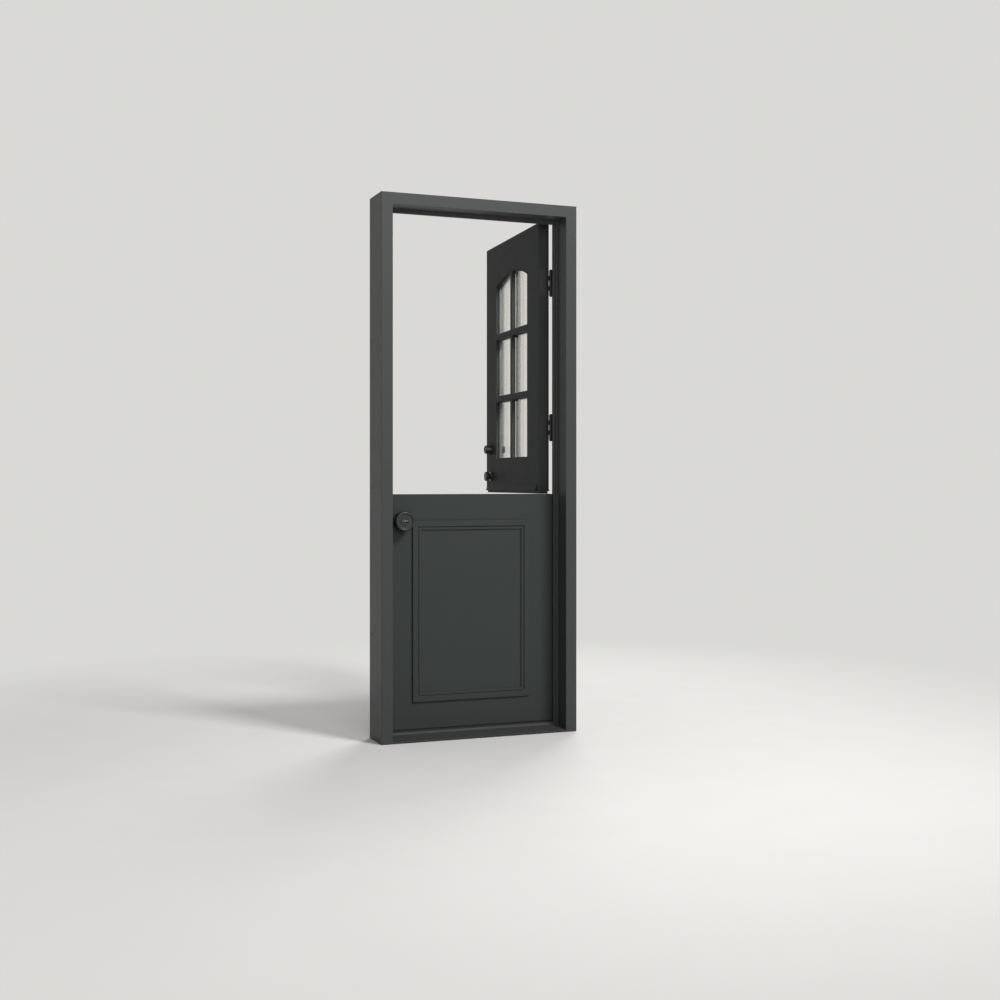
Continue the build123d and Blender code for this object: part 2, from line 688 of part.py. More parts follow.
def cut_skin(sheet, hinges, locks):
    """A skin with the holes that its locks pass through and the notches for its hinges."""
    for z in hinges:
        sheet -= leaf_hinge_mortise(z)
    for z, _, bore in locks:
        sheet -= rod_y(bore, LEAF_FRONT_Y - OVERCUT, LEAF_BACK_Y + OVERCUT, LOCK_X, z)
    return sheet


def window_bars(y0, y1):
    """One upright bar and two cross bars, welded into one grille and cut to the opening."""
    bars = block(-BAR_WIDTH / 2, BAR_WIDTH / 2, y0, y1, WINDOW_BOTTOM, WINDOW_PEAK)
    for row in (1, 2):
        low = WINDOW_BOTTOM + row * LIGHT_HEIGHT + (row - 1) * BAR_WIDTH
        bars += block(-HALF_WINDOW, HALF_WINDOW, y0, y1, low, low + BAR_WIDTH)
    return bars & window_prism(-SOFT, y0, y1)


def window_surround():
    """Lining of the opening, stepped back so that the glass bears on its lip."""
    lip = window_prism(GLASS_BITE + SURROUND_WALL, CHANNEL_FRONT_Y, GLASS_FRONT_Y)
    lip -= window_prism(0, CHANNEL_FRONT_Y, GLASS_FRONT_Y)
    sleeve = window_prism(GLASS_BITE + SURROUND_WALL, GLASS_FRONT_Y, CHANNEL_BACK_Y)
    sleeve -= window_prism(GLASS_BITE, GLASS_FRONT_Y, CHANNEL_BACK_Y)
    return lip + sleeve


def glazing_bead():
    """Bead that holds the glass from indoors, with a chamfer towards the opening."""
    bead = window_prism(GLASS_BITE - SOFT, BEAD_FRONT_Y, LEAF_BACK_Y)
    bead -= window_prism(0, BEAD_FRONT_Y - OVERCUT, LEAF_BACK_Y + OVERCUT)
    indoor_face = bead.faces().sort_by(Axis.Y)[-1]
    return chamfer(indoor_face.inner_wires()[0].edges(), BEAD_CHAMFER)


def meeting_cap():
    """Flared cap round the foot of the upper leaf, an ogee on both faces."""
    sweep_top = CAP_BOTTOM + CAP_HEIGHT
    lip_top = CAP_BOTTOM + CAP_LIP
    middle_z = (sweep_top + lip_top) / 2
    sides = []
    for face, outward in ((LEAF_FRONT_Y, -1), (LEAF_BACK_Y, 1)):
        edge = face + outward * CAP_PROUD
        middle_y = face + outward * CAP_PROUD * CAP_WAIST_SHARE
        root = face + outward * CAP_ROOT
        ogee = Spline(
            (root, sweep_top), (middle_y, middle_z), (edge, lip_top), tangents=((0, -1), (outward, -0.8))
        )
        rest = Polyline((edge, lip_top), (edge, CAP_BOTTOM), (face, CAP_BOTTOM), (face, sweep_top), (root, sweep_top))
        sides.append(Plane.YZ * make_face([ogee, *rest.edges()]))
    half = STOP_X - CAP_STOP_CLEARANCE
    cap = leaf_slab(LEAF_FRONT_Y, LEAF_BACK_Y, CAP_BOTTOM, UPPER_SLAB_BOTTOM)
    for side in sides:
        cap += extrude(side, half, dir=(1, 0, 0), both=True)
    return cap


def finned_strip(top, bottom, fins):
    """A rubber strip across a leaf's width, with a thin base and downward fins."""
    half = HALF_LEAF - STRIP_END_GAP
    y0, y1 = LEAF_FRONT_Y + STRIP_INSET, LEAF_BACK_Y - STRIP_INSET
    strip = block(-half, half, y0, y1, top - STRIP_BASE, top)
    pitch = (y1 - y0 - STRIP_FIN) / (fins - 1)
    for index in range(fins):
        low = y0 + index * pitch
        strip += block(-half, half, low, low + STRIP_FIN, bottom, top - STRIP_BASE)
    return strip


def moulding(bottom, top):
    """Picture-frame moulding on a flat face, drawn lying with its face up."""
    width = 2 * (HALF_LEAF - PANEL_SIDE)
    height = top - bottom
    wide = MOULDING_WIDTH
    tall = MOULDING_HEIGHT
    shoulder = MOULDING_SHOULDER
    points = [
        (0, 0),
        (0, tall - shoulder),
        (shoulder, tall),
        (0.56 * wide, tall),
        (0.64 * wide, 0.55 * tall),
        (0.82 * wide, 0.52 * tall),
        (0.90 * wide, 0.24 * tall),
        (wide, 0.12 * tall),
        (wide, 0),
    ]
    rounds = {1: -1.1 * shoulder, 3: -1.1 * shoulder, 5: -0.9 * shoulder}
    pieces = []
    for length, turn, reach in ((width, 0, height / 2), (height, 90, width / 2)):
        profile = outline([(reach - inward, up) for inward, up in points], rounds)
        side = extrude(Plane.YZ * profile, length / 2, dir=(1, 0, 0), both=True)
        for cut in (1, -1):
            corner = Plane(origin=(cut * length / 2, reach, 0), z_dir=(cut, -1, 0))
            side = split(side, corner, keep=Keep.BOTTOM)
        for flip in (0, 180):
            pieces.append(Rot(0, 0, turn + flip) * side)
    return pieces[0] + pieces[1] + pieces[2] + pieces[3]


def panel_moulding(outdoor):
    """The raised moulding on one face of the lower leaf."""
    bottom = LEAF_BOTTOM + PANEL_BOTTOM
    top = LOWER_LEAF_TOP - PANEL_TOP
    face = LEAF_FRONT_Y if outdoor else LEAF_BACK_Y
    turn = 90 if outdoor else -90
    return Pos(0, face, (bottom + top) / 2) * Rot(turn, 0, 0) * moulding(bottom, top)


def turned(points, arcs=None):
    """A solid turned about Y from an outline of (radius, distance) points."""
    return revolve(outline(points, arcs), Axis.Y)


def onto_face(solid, z, outdoor):
    """Put a turned piece, drawn along +Y from its seat, on one face of a leaf."""
    if outdoor:
        return Pos(LOCK_X, LEAF_FRONT_Y, z) * Rot(0, 0, 180) * solid
    return Pos(LOCK_X, LEAF_BACK_Y, z) * solid


def rose(radius, height, bore_radius, hole):
    """A round cover plate with a spigot that centres it in the leaf's bore."""
    edge = height * 0.45
    points = [
        (hole, -ROSE_SPIGOT),
        (bore_radius - SEAT, -ROSE_SPIGOT),
        (bore_radius - SEAT, 0),
        (radius, 0),
        (radius, height - edge),
        (radius - edge, height),
        (hole, height),
    ]
    return turned(points, {4: -edge})


def large_knob(keyed, driver):
    """Round door knob with a raised rim, a dished ring and a centre plug."""
    seat = ROSE_HEIGHT + SOFT
    end = LARGE_KNOB_LENGTH
    outer = LARGE_KNOB_RADIUS
    neck = outer * 0.46
    rim = outer - 5.0
    plug = outer * 0.36
    dish = end - 4.0
    points = [
        (0, -ROSE_SPIGOT),
        (SLEEVE_RADIUS, -ROSE_SPIGOT),
        (SLEEVE_RADIUS, seat),
        (neck + 3.0, seat),
        (neck, seat + 7.0),
        (neck, seat + 12.0),
        (outer, seat + 24.0),
        (outer, end - 7.0),
        (outer - 3.0, end),
        (rim, end),
        (rim - 2.5, dish),
        (plug + 1.5, dish),
        (plug, end - 2.0),
        (0, end - 2.0),
    ]
    knob = turned(points, {5: -20.0, 7: -14.0})
    return finish_knob(knob, keyed, end - 2.0, driver)


def small_knob(driver):
    """Small round knob on a short neck."""
    seat = SMALL_ROSE_HEIGHT + SOFT
    end = SMALL_KNOB_LENGTH
    outer = SMALL_KNOB_RADIUS
    points = [
        (0, -ROSE_SPIGOT),
        (SLEEVE_RADIUS, -ROSE_SPIGOT),
        (SLEEVE_RADIUS, seat),
        (SLEEVE_RADIUS + 3.0, seat),
        (SLEEVE_RADIUS + 1.5, seat + 3.0),
        (outer - 1.5, seat + 8.0),
        (outer, seat + 11.0),
        (outer, end - 5.0),
        (outer - 5.0, end - 0.5),
        (0, end),
    ]
    return finish_knob(turned(points, {4: 9.0, 7: -5.5}), False, end, driver)


def finish_knob(knob, keyed, face, driver):
    """Add the spindle to the outdoor knob, or bore the socket that takes it."""
    if driver:
        knob += rod_y(SPINDLE_RADIUS, -SPINDLE_REACH, 0, 0, 0)
    else:
        knob -= rod_y(SPINDLE_RADIUS + RUNNING, -ROSE_SPIGOT - OVERCUT, SOCKET_START, 0, 0)
    if keyed:
        knob -= keyway(face)
    return knob


def keyway(face):
    """The slot for a key, cut into a plug's face, with a wider throat at its middle."""
    slot = Box(KEYWAY_WIDTH, 2 * KEYWAY_DEPTH, KEYWAY_HEIGHT)
    throat = Box(KEYWAY_WIDTH / 3, 2 * KEYWAY_DEPTH, 2 * KEYWAY_HEIGHT)
    return Pos(0, face, 0) * (slot + throat)


def latch_case(z, radius, width, height, length):
    """Tubular case with its faceplate, a channel for the bolt and a cross hole for the spindle."""
    case = plate_x(FACEPLATE_HEIGHT, FACEPLATE_WIDTH, FACEPLATE, -HALF_LEAF, z)
    case += rod_x(radius, -HALF_LEAF + FACEPLATE / 2, LOCK_X + radius, LEAF_MID_Y, z)
    half_w = width / 2 + RUNNING
    half_h = height / 2 + RUNNING
    x0, x1 = -HALF_LEAF - OVERCUT, -HALF_LEAF + BOLT_RECESS + length + BOLT_END_ROOM
    case -= block(x0, x1, LEAF_MID_Y - half_w, LEAF_MID_Y + half_w, z - half_h, z + half_h)
    case -= rod_y(SPINDLE_RADIUS + RUNNING, LEAF_FRONT_Y, LEAF_BACK_Y, LOCK_X, z)
    for place in edge_screw_places(-HALF_LEAF, z, 1):
        case -= place * screw_hole()
    return case


def latch_bolt(z):
    """Spring latch's bolt, drawn back into its case, bevelled on the side that meets the strike."""
    x0 = -HALF_LEAF + BOLT_RECESS
    front = LEAF_MID_Y - LATCH_BOLT_WIDTH / 2
    back = LEAF_MID_Y + LATCH_BOLT_WIDTH / 2
    bevel = LATCH_BOLT_WIDTH - BOLT_NOSE
    points = [
        (x0, back),
        (x0, back - BOLT_NOSE),
        (x0 + bevel, front),
        (x0 + LATCH_LENGTH, front),
        (x0 + LATCH_LENGTH, back),
    ]
    face = make_face(Polyline(points, close=True))
    low = z - LATCH_BOLT_HEIGHT / 2
    return Pos(0, 0, low) * extrude(face, LATCH_BOLT_HEIGHT, dir=(0, 0, 1))


def deadbolt_bolt():
    """Square-ended bolt with eased edges, drawn back into its case."""
    x0 = -HALF_LEAF + BOLT_RECESS
    half_w = DEADBOLT_WIDTH / 2
    half_h = DEADBOLT_HEIGHT / 2
    x1 = x0 + DEADBOLT_LENGTH
    y0, y1 = LEAF_MID_Y - half_w, LEAF_MID_Y + half_w
    bolt = block(x0, x1, y0, y1, DEADBOLT_Z - half_h, DEADBOLT_Z + half_h)
    return chamfer(bolt.faces().sort_by(Axis.X)[0].edges(), BOLT_EDGE)


def deadbolt_cylinder():
    """Keyed cylinder in a tapered collar on the outdoor face."""
    end = SMALL_KNOB_LENGTH
    radius = SMALL_ROSE_RADIUS
    points = [
        (0, -ROSE_SPIGOT),
        (SMALL_BORE_RADIUS - SEAT, -ROSE_SPIGOT),
        (SMALL_BORE_RADIUS - SEAT, 0),
        (radius, 0),
        (radius, 5.0),
        (radius - 3.5, end - 3.0),
        (radius - 6.5, end),
        (11.5, end),
        (10.5, end - 2.0),
        (0, end - 2.0),
    ]
    body = turned(points, {5: -3.2})
    return onto_face(body - keyway(end - 2.0), DEADBOLT_Z, outdoor=True)


def thumb_turn():
    """Oval turn piece indoors, with the tail that works the deadbolt."""
    seat = SMALL_ROSE_HEIGHT + SOFT
    stem = rod_y(STEM_RADIUS, -ROSE_SPIGOT, seat + 3.0, 0, 0)
    grip = Pos(0, seat + 12.0, 0) * Rot(90, 0, 0) * extrude(SlotOverall(34.0, 8.0, rotation=90), 9.0, both=True)
    grip = fillet(grip.edges().group_by(Axis.Y)[-1], 2.0)
    tail = rod_y(SPINDLE_RADIUS, -(LEAF_THICKNESS - ROSE_SPIGOT - 4.0), 0, 0, 0)
    return onto_face(stem + grip + tail, DEADBOLT_Z, outdoor=False)


def tie_loop(z0, z1):
    """A block that stands off the leaf and carries the bolt's rod."""
    x0 = TIE_BOLT_X - TIE_LOOP_HALF
    x1 = TIE_BOLT_X + TIE_LOOP_HALF
    loop = block(x0, x1, LEAF_BACK_Y, TIE_BOLT_Y, z0, z1)
    loop += rod_z(TIE_LOOP_HALF, z0, z1, TIE_BOLT_X, TIE_BOLT_Y)
    return loop - rod_z(TIE_BOLT_RADIUS + RUNNING, z0 - OVERCUT, z1 + OVERCUT, TIE_BOLT_X, TIE_BOLT_Y)


def tie_plate(z0, z1):
    """Base plate on a leaf's indoor face."""
    x0 = TIE_BOLT_X - TIE_PLATE_HALF
    x1 = TIE_BOLT_X + TIE_PLATE_HALF
    plate = block(x0, x1, LEAF_BACK_Y, LEAF_BACK_Y + TIE_PLATE, z0, z1)
    return fillet(plate.edges().filter_by(Axis.Y), TIE_PLATE_CORNER)


def dutch_bolt_guide():
    """Plate with two loops on the upper leaf."""
    low = CAP_BOTTOM + TIE_GUIDE_LOW
    high = low + TIE_GUIDE_HEIGHT
    guide = tie_plate(low, high)
    guide += tie_loop(low, low + TIE_LOOP)
    return guide + tie_loop(high - TIE_LOOP, high)


def dutch_bolt_rod():
    """Round rod with a finger knob, drawn up clear of the lower leaf."""
    bottom = CAP_BOTTOM + TIE_BOLT_LIFT
    top = CAP_BOTTOM + TIE_GUIDE_LOW + TIE_GUIDE_HEIGHT + TIE_BOLT_THROW - TIE_LOOP / 2
    rod = rod_z(TIE_BOLT_RADIUS, bottom, top, TIE_BOLT_X, TIE_BOLT_Y)
    rod = chamfer(rod.edges().filter_by(GeomType.CIRCLE), BOLT_EDGE)
    handle_z = top - TIE_HANDLE_DROP
    tip = TIE_BOLT_Y + TIE_HANDLE_REACH
    rod += rod_y(TIE_HANDLE_STEM, TIE_BOLT_Y, tip, TIE_BOLT_X, handle_z)
    return rod + Pos(TIE_BOLT_X, tip, handle_z) * Sphere(TIE_HANDLE_BALL)


def dutch_bolt_keeper():
    """Plate with a folded strap on the lower leaf, which the rod drops behind."""
    high = LOWER_LEAF_TOP - TIE_KEEPER_DROP
    low = high - TIE_KEEPER_HEIGHT
    room = TIE_BOLT_RADIUS + TIE_STRAP_PLAY
    half = room + TIE_STRAP
    front = TIE_BOLT_Y + room
    strap = block(TIE_BOLT_X - half, TIE_BOLT_X + half, LEAF_BACK_Y, front + TIE_STRAP, low, high)
    strap = fillet(strap.edges().filter_by(Axis.Z).group_by(Axis.Y)[-1], TIE_STRAP)
    keeper = tie_plate(low - TIE_KEEPER_TAIL, high) + strap
    y0 = LEAF_BACK_Y + TIE_PLATE
    return keeper - block(TIE_BOLT_X - room, TIE_BOLT_X + room, y0, front, low - OVERCUT, high + OVERCUT)


def group(solids):
    """Several separate like solids in one node."""
    return Compound(children=[solid for piece in solids for solid in piece.solids()])


def frame_nodes():
    """Everything fixed to the wall."""
    nodes = {
        "hinge_jamb": hinge_jamb(),
        "latch_jamb": latch_jamb(),
        "head_jamb": crosswise(tube_section),
        "hinge_side_stop": upright(stop_section, 1),
        "latch_side_stop": upright(stop_section, -1),
        "head_stop": crosswise(stop_section),
        "threshold": threshold(),
        "frame_seal": frame_seal(),
        "frame_hinge_plates": group(hinge_plate(z, frame_side=True) for z in LOWER_HINGES + UPPER_HINGES),
        "hinge_pins": group(hinge_pin(z) for z in LOWER_HINGES + UPPER_HINGES),
    }
    places = []
    for z in LOWER_HINGES + UPPER_HINGES:
        places += hinge_screw_places(z, frame_side=True)
    for name, sizes in strike_sizes().items():
        nodes[name] = strike(*sizes)
        places += edge_screw_places(-REBATE_X, sizes[0], -1)
    nodes["frame_screws"] = group(place * screw() for place in places)
    return nodes


def leaf_screws(hinges, locks):
    """The screws in a leaf's hinge plates and lock faceplates."""
    places = []
    for z in hinges:
        places += hinge_screw_places(z, frame_side=False)
    for z, _, _ in locks:
        places += edge_screw_places(-HALF_LEAF, z, 1)
    return group(place * screw() for place in places)


def lower_leaf_nodes():
    """The lower leaf with its panels, lock and seals, closed."""
    bottom, top = LEAF_BOTTOM, LOWER_LEAF_TOP
    hole = SLEEVE_RADIUS + RUNNING
    large_rose = rose(LARGE_ROSE_RADIUS, ROSE_HEIGHT, LARGE_BORE_RADIUS, hole)
    return {
        "lower_outer_skin": cut_skin(skin(LEAF_FRONT_Y, LEAF_FRONT_Y, bottom, top), LOWER_HINGES, LOWER_LOCKS),
        "lower_inner_skin": cut_skin(skin(CHANNEL_BACK_Y, LEAF_BACK_Y, bottom, top), LOWER_HINGES, LOWER_LOCKS),
        "lower_leaf_channel": leaf_channel(bottom, top, LOWER_HINGES, LOWER_LOCKS),
        "lower_leaf_core": leaf_core(bottom, top, LOWER_HINGES, LOWER_LOCKS),
        "lower_outer_moulding": panel_moulding(outdoor=True),
        "lower_inner_moulding": panel_moulding(outdoor=False),
        "bottom_sweep": finned_strip(bottom, SILL_TOP + SOFT, SWEEP_FINS),
        "lower_hinge_plates": group(hinge_plate(z, frame_side=False) for z in LOWER_HINGES),
        "lower_leaf_screws": leaf_screws(LOWER_HINGES, LOWER_LOCKS),
        "lower_latch_case": latch_case(LOWER_LATCH_Z, LATCH_CASE_RADIUS, *LATCH_BOLT),
        "lower_latch_bolt": latch_bolt(LOWER_LATCH_Z),
        "lower_outer_rose": onto_face(large_rose, LOWER_LATCH_Z, outdoor=True),
        "lower_inner_rose": onto_face(large_rose, LOWER_LATCH_Z, outdoor=False),
        "lower_outer_knob": onto_face(large_knob(keyed=True, driver=True), LOWER_LATCH_Z, outdoor=True),
        "lower_inner_knob": onto_face(large_knob(keyed=False, driver=False), LOWER_LATCH_Z, outdoor=False),
        "dutch_bolt_keeper": dutch_bolt_keeper(),
    }


def upper_leaf_nodes():
    """The upper leaf with its window, locks and cap, still closed."""
    bottom, top = UPPER_SLAB_BOTTOM, LEAF_TOP
    hole = SLEEVE_RADIUS + RUNNING
    small_rose = rose(SMALL_ROSE_RADIUS, SMALL_ROSE_HEIGHT, SMALL_BORE_RADIUS, hole)
    turn_rose = rose(SMALL_ROSE_RADIUS, SMALL_ROSE_HEIGHT, SMALL_BORE_RADIUS, STEM_RADIUS + RUNNING)
    outer = skin(LEAF_FRONT_Y, LEAF_FRONT_Y, bottom, top)
    outer -= window_prism(0, LEAF_FRONT_Y - OVERCUT, CHANNEL_FRONT_Y + OVERCUT)
    inner = skin(CHANNEL_BACK_Y, LEAF_BACK_Y, bottom, top)
    inner -= window_prism(GLASS_BITE, CHANNEL_BACK_Y - OVERCUT, LEAF_BACK_Y + OVERCUT)
    core = leaf_core(bottom, top, UPPER_HINGES, UPPER_LOCKS)
    lining = GLASS_BITE + SURROUND_WALL + SEAT
    core -= window_prism(lining, CHANNEL_FRONT_Y - OVERCUT, CHANNEL_BACK_Y + OVERCUT)
    spacer = window_prism(GLASS_BITE - SOFT, SPACER_FRONT_Y, INNER_PANE_Y)
    spacer -= window_prism(-SPACER_SHOW, SPACER_FRONT_Y, INNER_PANE_Y)
    return {
        "upper_outer_skin": cut_skin(outer, UPPER_HINGES, UPPER_LOCKS),
        "upper_inner_skin": cut_skin(inner, UPPER_HINGES, UPPER_LOCKS),
        "upper_leaf_channel": leaf_channel(bottom, top, UPPER_HINGES, UPPER_LOCKS),
        "upper_leaf_core": core,
        "window_surround": window_surround(),
        "glass_outer": window_prism(GLASS_BITE - SOFT, GLASS_FRONT_Y, SPACER_FRONT_Y),
        "glass_spacer": spacer,
        "glass_inner": window_prism(GLASS_BITE - SOFT, INNER_PANE_Y, INNER_PANE_Y + PANE),
        "outer_window_bars": window_bars(LEAF_FRONT_Y, GLASS_FRONT_Y - SOFT),
        "inner_window_bars": window_bars(BEAD_FRONT_Y, LEAF_BACK_Y),
        "glazing_bead": glazing_bead(),
        "meeting_cap": meeting_cap(),
        "meeting_seal": finned_strip(CAP_BOTTOM, LOWER_LEAF_TOP + SOFT, MEETING_FINS),
        "upper_hinge_plates": group(hinge_plate(z, frame_side=False) for z in UPPER_HINGES),
        "upper_leaf_screws": leaf_screws(UPPER_HINGES, UPPER_LOCKS),
        "upper_latch_case": latch_case(UPPER_LATCH_Z, LATCH_CASE_RADIUS, *LATCH_BOLT),
        "upper_latch_bolt": latch_bolt(UPPER_LATCH_Z),
        "deadbolt_case": latch_case(DEADBOLT_Z, DEADBOLT_CASE_RADIUS, *DEADBOLT),
        "deadbolt_bolt": deadbolt_bolt(),
        "deadbolt_cylinder": deadbolt_cylinder(),
        "deadbolt_rose": onto_face(turn_rose, DEADBOLT_Z, outdoor=False),
        "thumb_turn": thumb_turn(),
        "upper_outer_rose": onto_face(small_rose, UPPER_LATCH_Z, outdoor=True),
        "upper_inner_rose": onto_face(small_rose, UPPER_LATCH_Z, outdoor=False),
        "upper_outer_knob": onto_face(small_knob(driver=True), UPPER_LATCH_Z, outdoor=True),
        "upper_inner_knob": onto_face(small_knob(driver=False), UPPER_LATCH_Z, outdoor=False),
        "dutch_bolt_guide": dutch_bolt_guide(),
        "dutch_bolt_rod": dutch_bolt_rod(),
    }


def swung_open(solid):
    """A closed upper-leaf piece, turned about the hinge pins to where the leaf is stored."""
    there = Pos(PIN_X, PIN_Y, 0)
    back = Pos(-PIN_X, -PIN_Y, 0)
    return there * Rot(0, 0, -REST_OPENING_DEG) * back * solid


def main():
    """Build every node and write one STEP file for each."""
    os.makedirs("parts", exist_ok=True)
    nodes = frame_nodes()
    nodes.update(lower_leaf_nodes())
    for name, solid in upper_leaf_nodes().items():
        nodes[name] = swung_open(solid)
    for name, solid in nodes.items():
        export_step(solid, f"parts/{name}.step")
    print(len(nodes), "nodes")


main()
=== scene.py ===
"""Finishes, small details and a plain studio for a dutch stable door in its frame.

Metres. +X is towards the hinges, +Y into the house and +Z up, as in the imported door.
Details of the upper leaf are worked out with that leaf closed and then swung open with it.
"""

import json
import math

import bmesh
import bpy
from mathutils import Matrix, Vector

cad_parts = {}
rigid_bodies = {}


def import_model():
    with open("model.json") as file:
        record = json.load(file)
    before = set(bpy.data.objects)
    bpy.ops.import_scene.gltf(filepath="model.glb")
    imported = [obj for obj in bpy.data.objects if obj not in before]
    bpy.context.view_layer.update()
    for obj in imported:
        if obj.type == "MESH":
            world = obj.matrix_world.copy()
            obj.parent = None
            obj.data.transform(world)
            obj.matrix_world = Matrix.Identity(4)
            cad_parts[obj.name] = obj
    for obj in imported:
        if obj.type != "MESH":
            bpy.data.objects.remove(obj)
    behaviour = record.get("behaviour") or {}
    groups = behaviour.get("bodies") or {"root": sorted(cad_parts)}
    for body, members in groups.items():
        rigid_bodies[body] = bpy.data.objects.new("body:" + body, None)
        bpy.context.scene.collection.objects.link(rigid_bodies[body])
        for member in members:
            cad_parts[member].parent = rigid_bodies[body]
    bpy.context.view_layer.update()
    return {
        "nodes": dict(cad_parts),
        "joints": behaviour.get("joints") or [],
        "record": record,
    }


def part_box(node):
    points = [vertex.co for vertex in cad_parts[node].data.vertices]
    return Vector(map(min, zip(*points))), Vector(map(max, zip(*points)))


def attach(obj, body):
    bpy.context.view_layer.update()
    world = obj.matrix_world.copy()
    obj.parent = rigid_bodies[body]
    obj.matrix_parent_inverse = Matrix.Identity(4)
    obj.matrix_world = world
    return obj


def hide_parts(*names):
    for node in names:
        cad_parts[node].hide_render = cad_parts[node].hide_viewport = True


for leftover in list(bpy.data.objects):
    bpy.data.objects.remove(leftover)
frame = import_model()

bl_info = {
    "name": "Dutch Stable Door",
    "version": (1, 0, 0),
    "blender": (4, 5, 0),
    "location": "3D View > Sidebar > Stable Door",
    "description": "Dresses a dutch stable door with paint, metal, glass and small details",
    "category": "Object",
}

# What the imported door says

NODES = frame["nodes"]
SWING = next(joint for joint in frame["joints"] if joint["name"] == "upper_swing")
SLOT_OF = {part["node"]: part["material_slot"] for part in frame["record"]["subparts"]}
BODY_OF = {
    name: body
    for body, names in frame["record"]["behaviour"]["bodies"].items()
    for name in names
}

# Places and directions

OPEN_ANGLE = math.radians(SWING["range_deg"][0])
HINGE_LINE = Vector((SWING["pos_m"][0], SWING["pos_m"][1], 0))
SWUNG_OPEN = (
    Matrix.Translation(HINGE_LINE)
    @ Matrix.Rotation(OPEN_ANGLE, 4, "Z")
    @ Matrix.Translation(-HINGE_LINE)
)
SWUNG_SHUT = SWUNG_OPEN.inverted()
RIGHT_ANGLE = math.radians(90)
FACING_OUT = Matrix.Rotation(RIGHT_ANGLE, 4, "X")
FACING_IN = Matrix.Rotation(2 * RIGHT_ANGLE, 4, "Z") @ FACING_OUT
ALONG_X = Matrix.Rotation(RIGHT_ANGLE, 4, "Y")

# Mesh work

WELD_DISTANCE = 1e-5
SMOOTH_BELOW = math.radians(35)
MITRE_STRETCH = math.sqrt(2)
TURN_STEPS = 72
BEND_STEPS = 6
ARCH_STEPS = 12
QUARTER_ROUND = [math.radians(15 * step) for step in range(7)]
LIGHT_ROWS = 3
GASKET_SIDES = 12
GASKET_BENDS = 4
HEAD_SIDES = 28
SHANK_SIDES, SHANK_ROWS = 20, 3
SHANK_TOP, SHANK_TIP = 0.96, 0.6
PLUG_SET_BACK = 0.0022
KEY_BAR_REACH, KEY_BAR_EASE, KEY_BAR_LIFT, KEY_BAR_SUNK = 0.54, 0.3, 0.12, 0.6

# Patterns: noise scale per metre, and how much each axis is stretched in a grain

TONE_SCALE = 2.5
GLOSS_SCALE = 18.0
DUST_SCALE = 60.0
FLOOR_SCALE = 5.0
RINGS_PER_METRE = 2600.0
UPRIGHT_GRAIN = (900.0, 900.0, 30.0)
SPACER_GRAIN = (60.0, 60.0, 4.0)
DUSTY_FROM = 0.55
DUST_ROUGHENS = 0.5
RING_GLOSS_CHANGE = 0.10

# Stage

DOOR_MIDDLE = Vector((0, 0, 1))
LAMPS = (
    ("key_light", 1.5, (2.0, -4.5, 4.9)),
    ("front_light", 2.6, (-0.8, -5.6, 2.6)),
    ("back_light", 2.6, (3.2, 4.6, 3.2)),
)
FLOOR_RADIUS = 60.0
FLOOR_SIDES = 96
FADE_FROM, FADE_TO = 0.9, 3.4
MOTTLE_LOW, MOTTLE_HIGH = 0.97, 1.03
CAMERA_PLACE = (-1.8664, -5.0345, 0.9831)
CAMERA_TURN = math.radians(-21.4)
CAMERA_SHIFT = -0.018
SENSOR_WIDTH = 36.0

# Sockets: kinds, and places in nodes whose sockets share a name

NUMBER = "NodeSocketFloat"
WHOLE_NUMBER = "NodeSocketInt"
VECTOR = "NodeSocketVector"
COLOUR = "NodeSocketColor"
MATERIAL = "NodeSocketMaterial"
GEOMETRY = "NodeSocketGeometry"
MIX_FIRST, MIX_SECOND, MIX_RESULT = 6, 7, 2
RANDOM_HIGHEST, RANDOM_RESULT = 3, 1


# Settings


def length(name, description, default):
    """A size in metres that a user may change."""
    return bpy.props.FloatProperty(
        name=name, description=description, default=default, min=0, unit="LENGTH", precision=4
    )


def share(name, description, default, highest=1.0):
    """A plain number from 0 up."""
    return bpy.props.FloatProperty(
        name=name, description=description, default=default, min=0, max=highest
    )


def power(name, description, default):
    """A lamp's power in watts."""
    return bpy.props.FloatProperty(
        name=name, description=description, default=default, unit="POWER"
    )


def colour(name, description, default):
    """A colour without alpha."""
    return bpy.props.FloatVectorProperty(
        name=name, description=description, default=default,
        size=3, subtype="COLOR", min=0, max=1,
    )


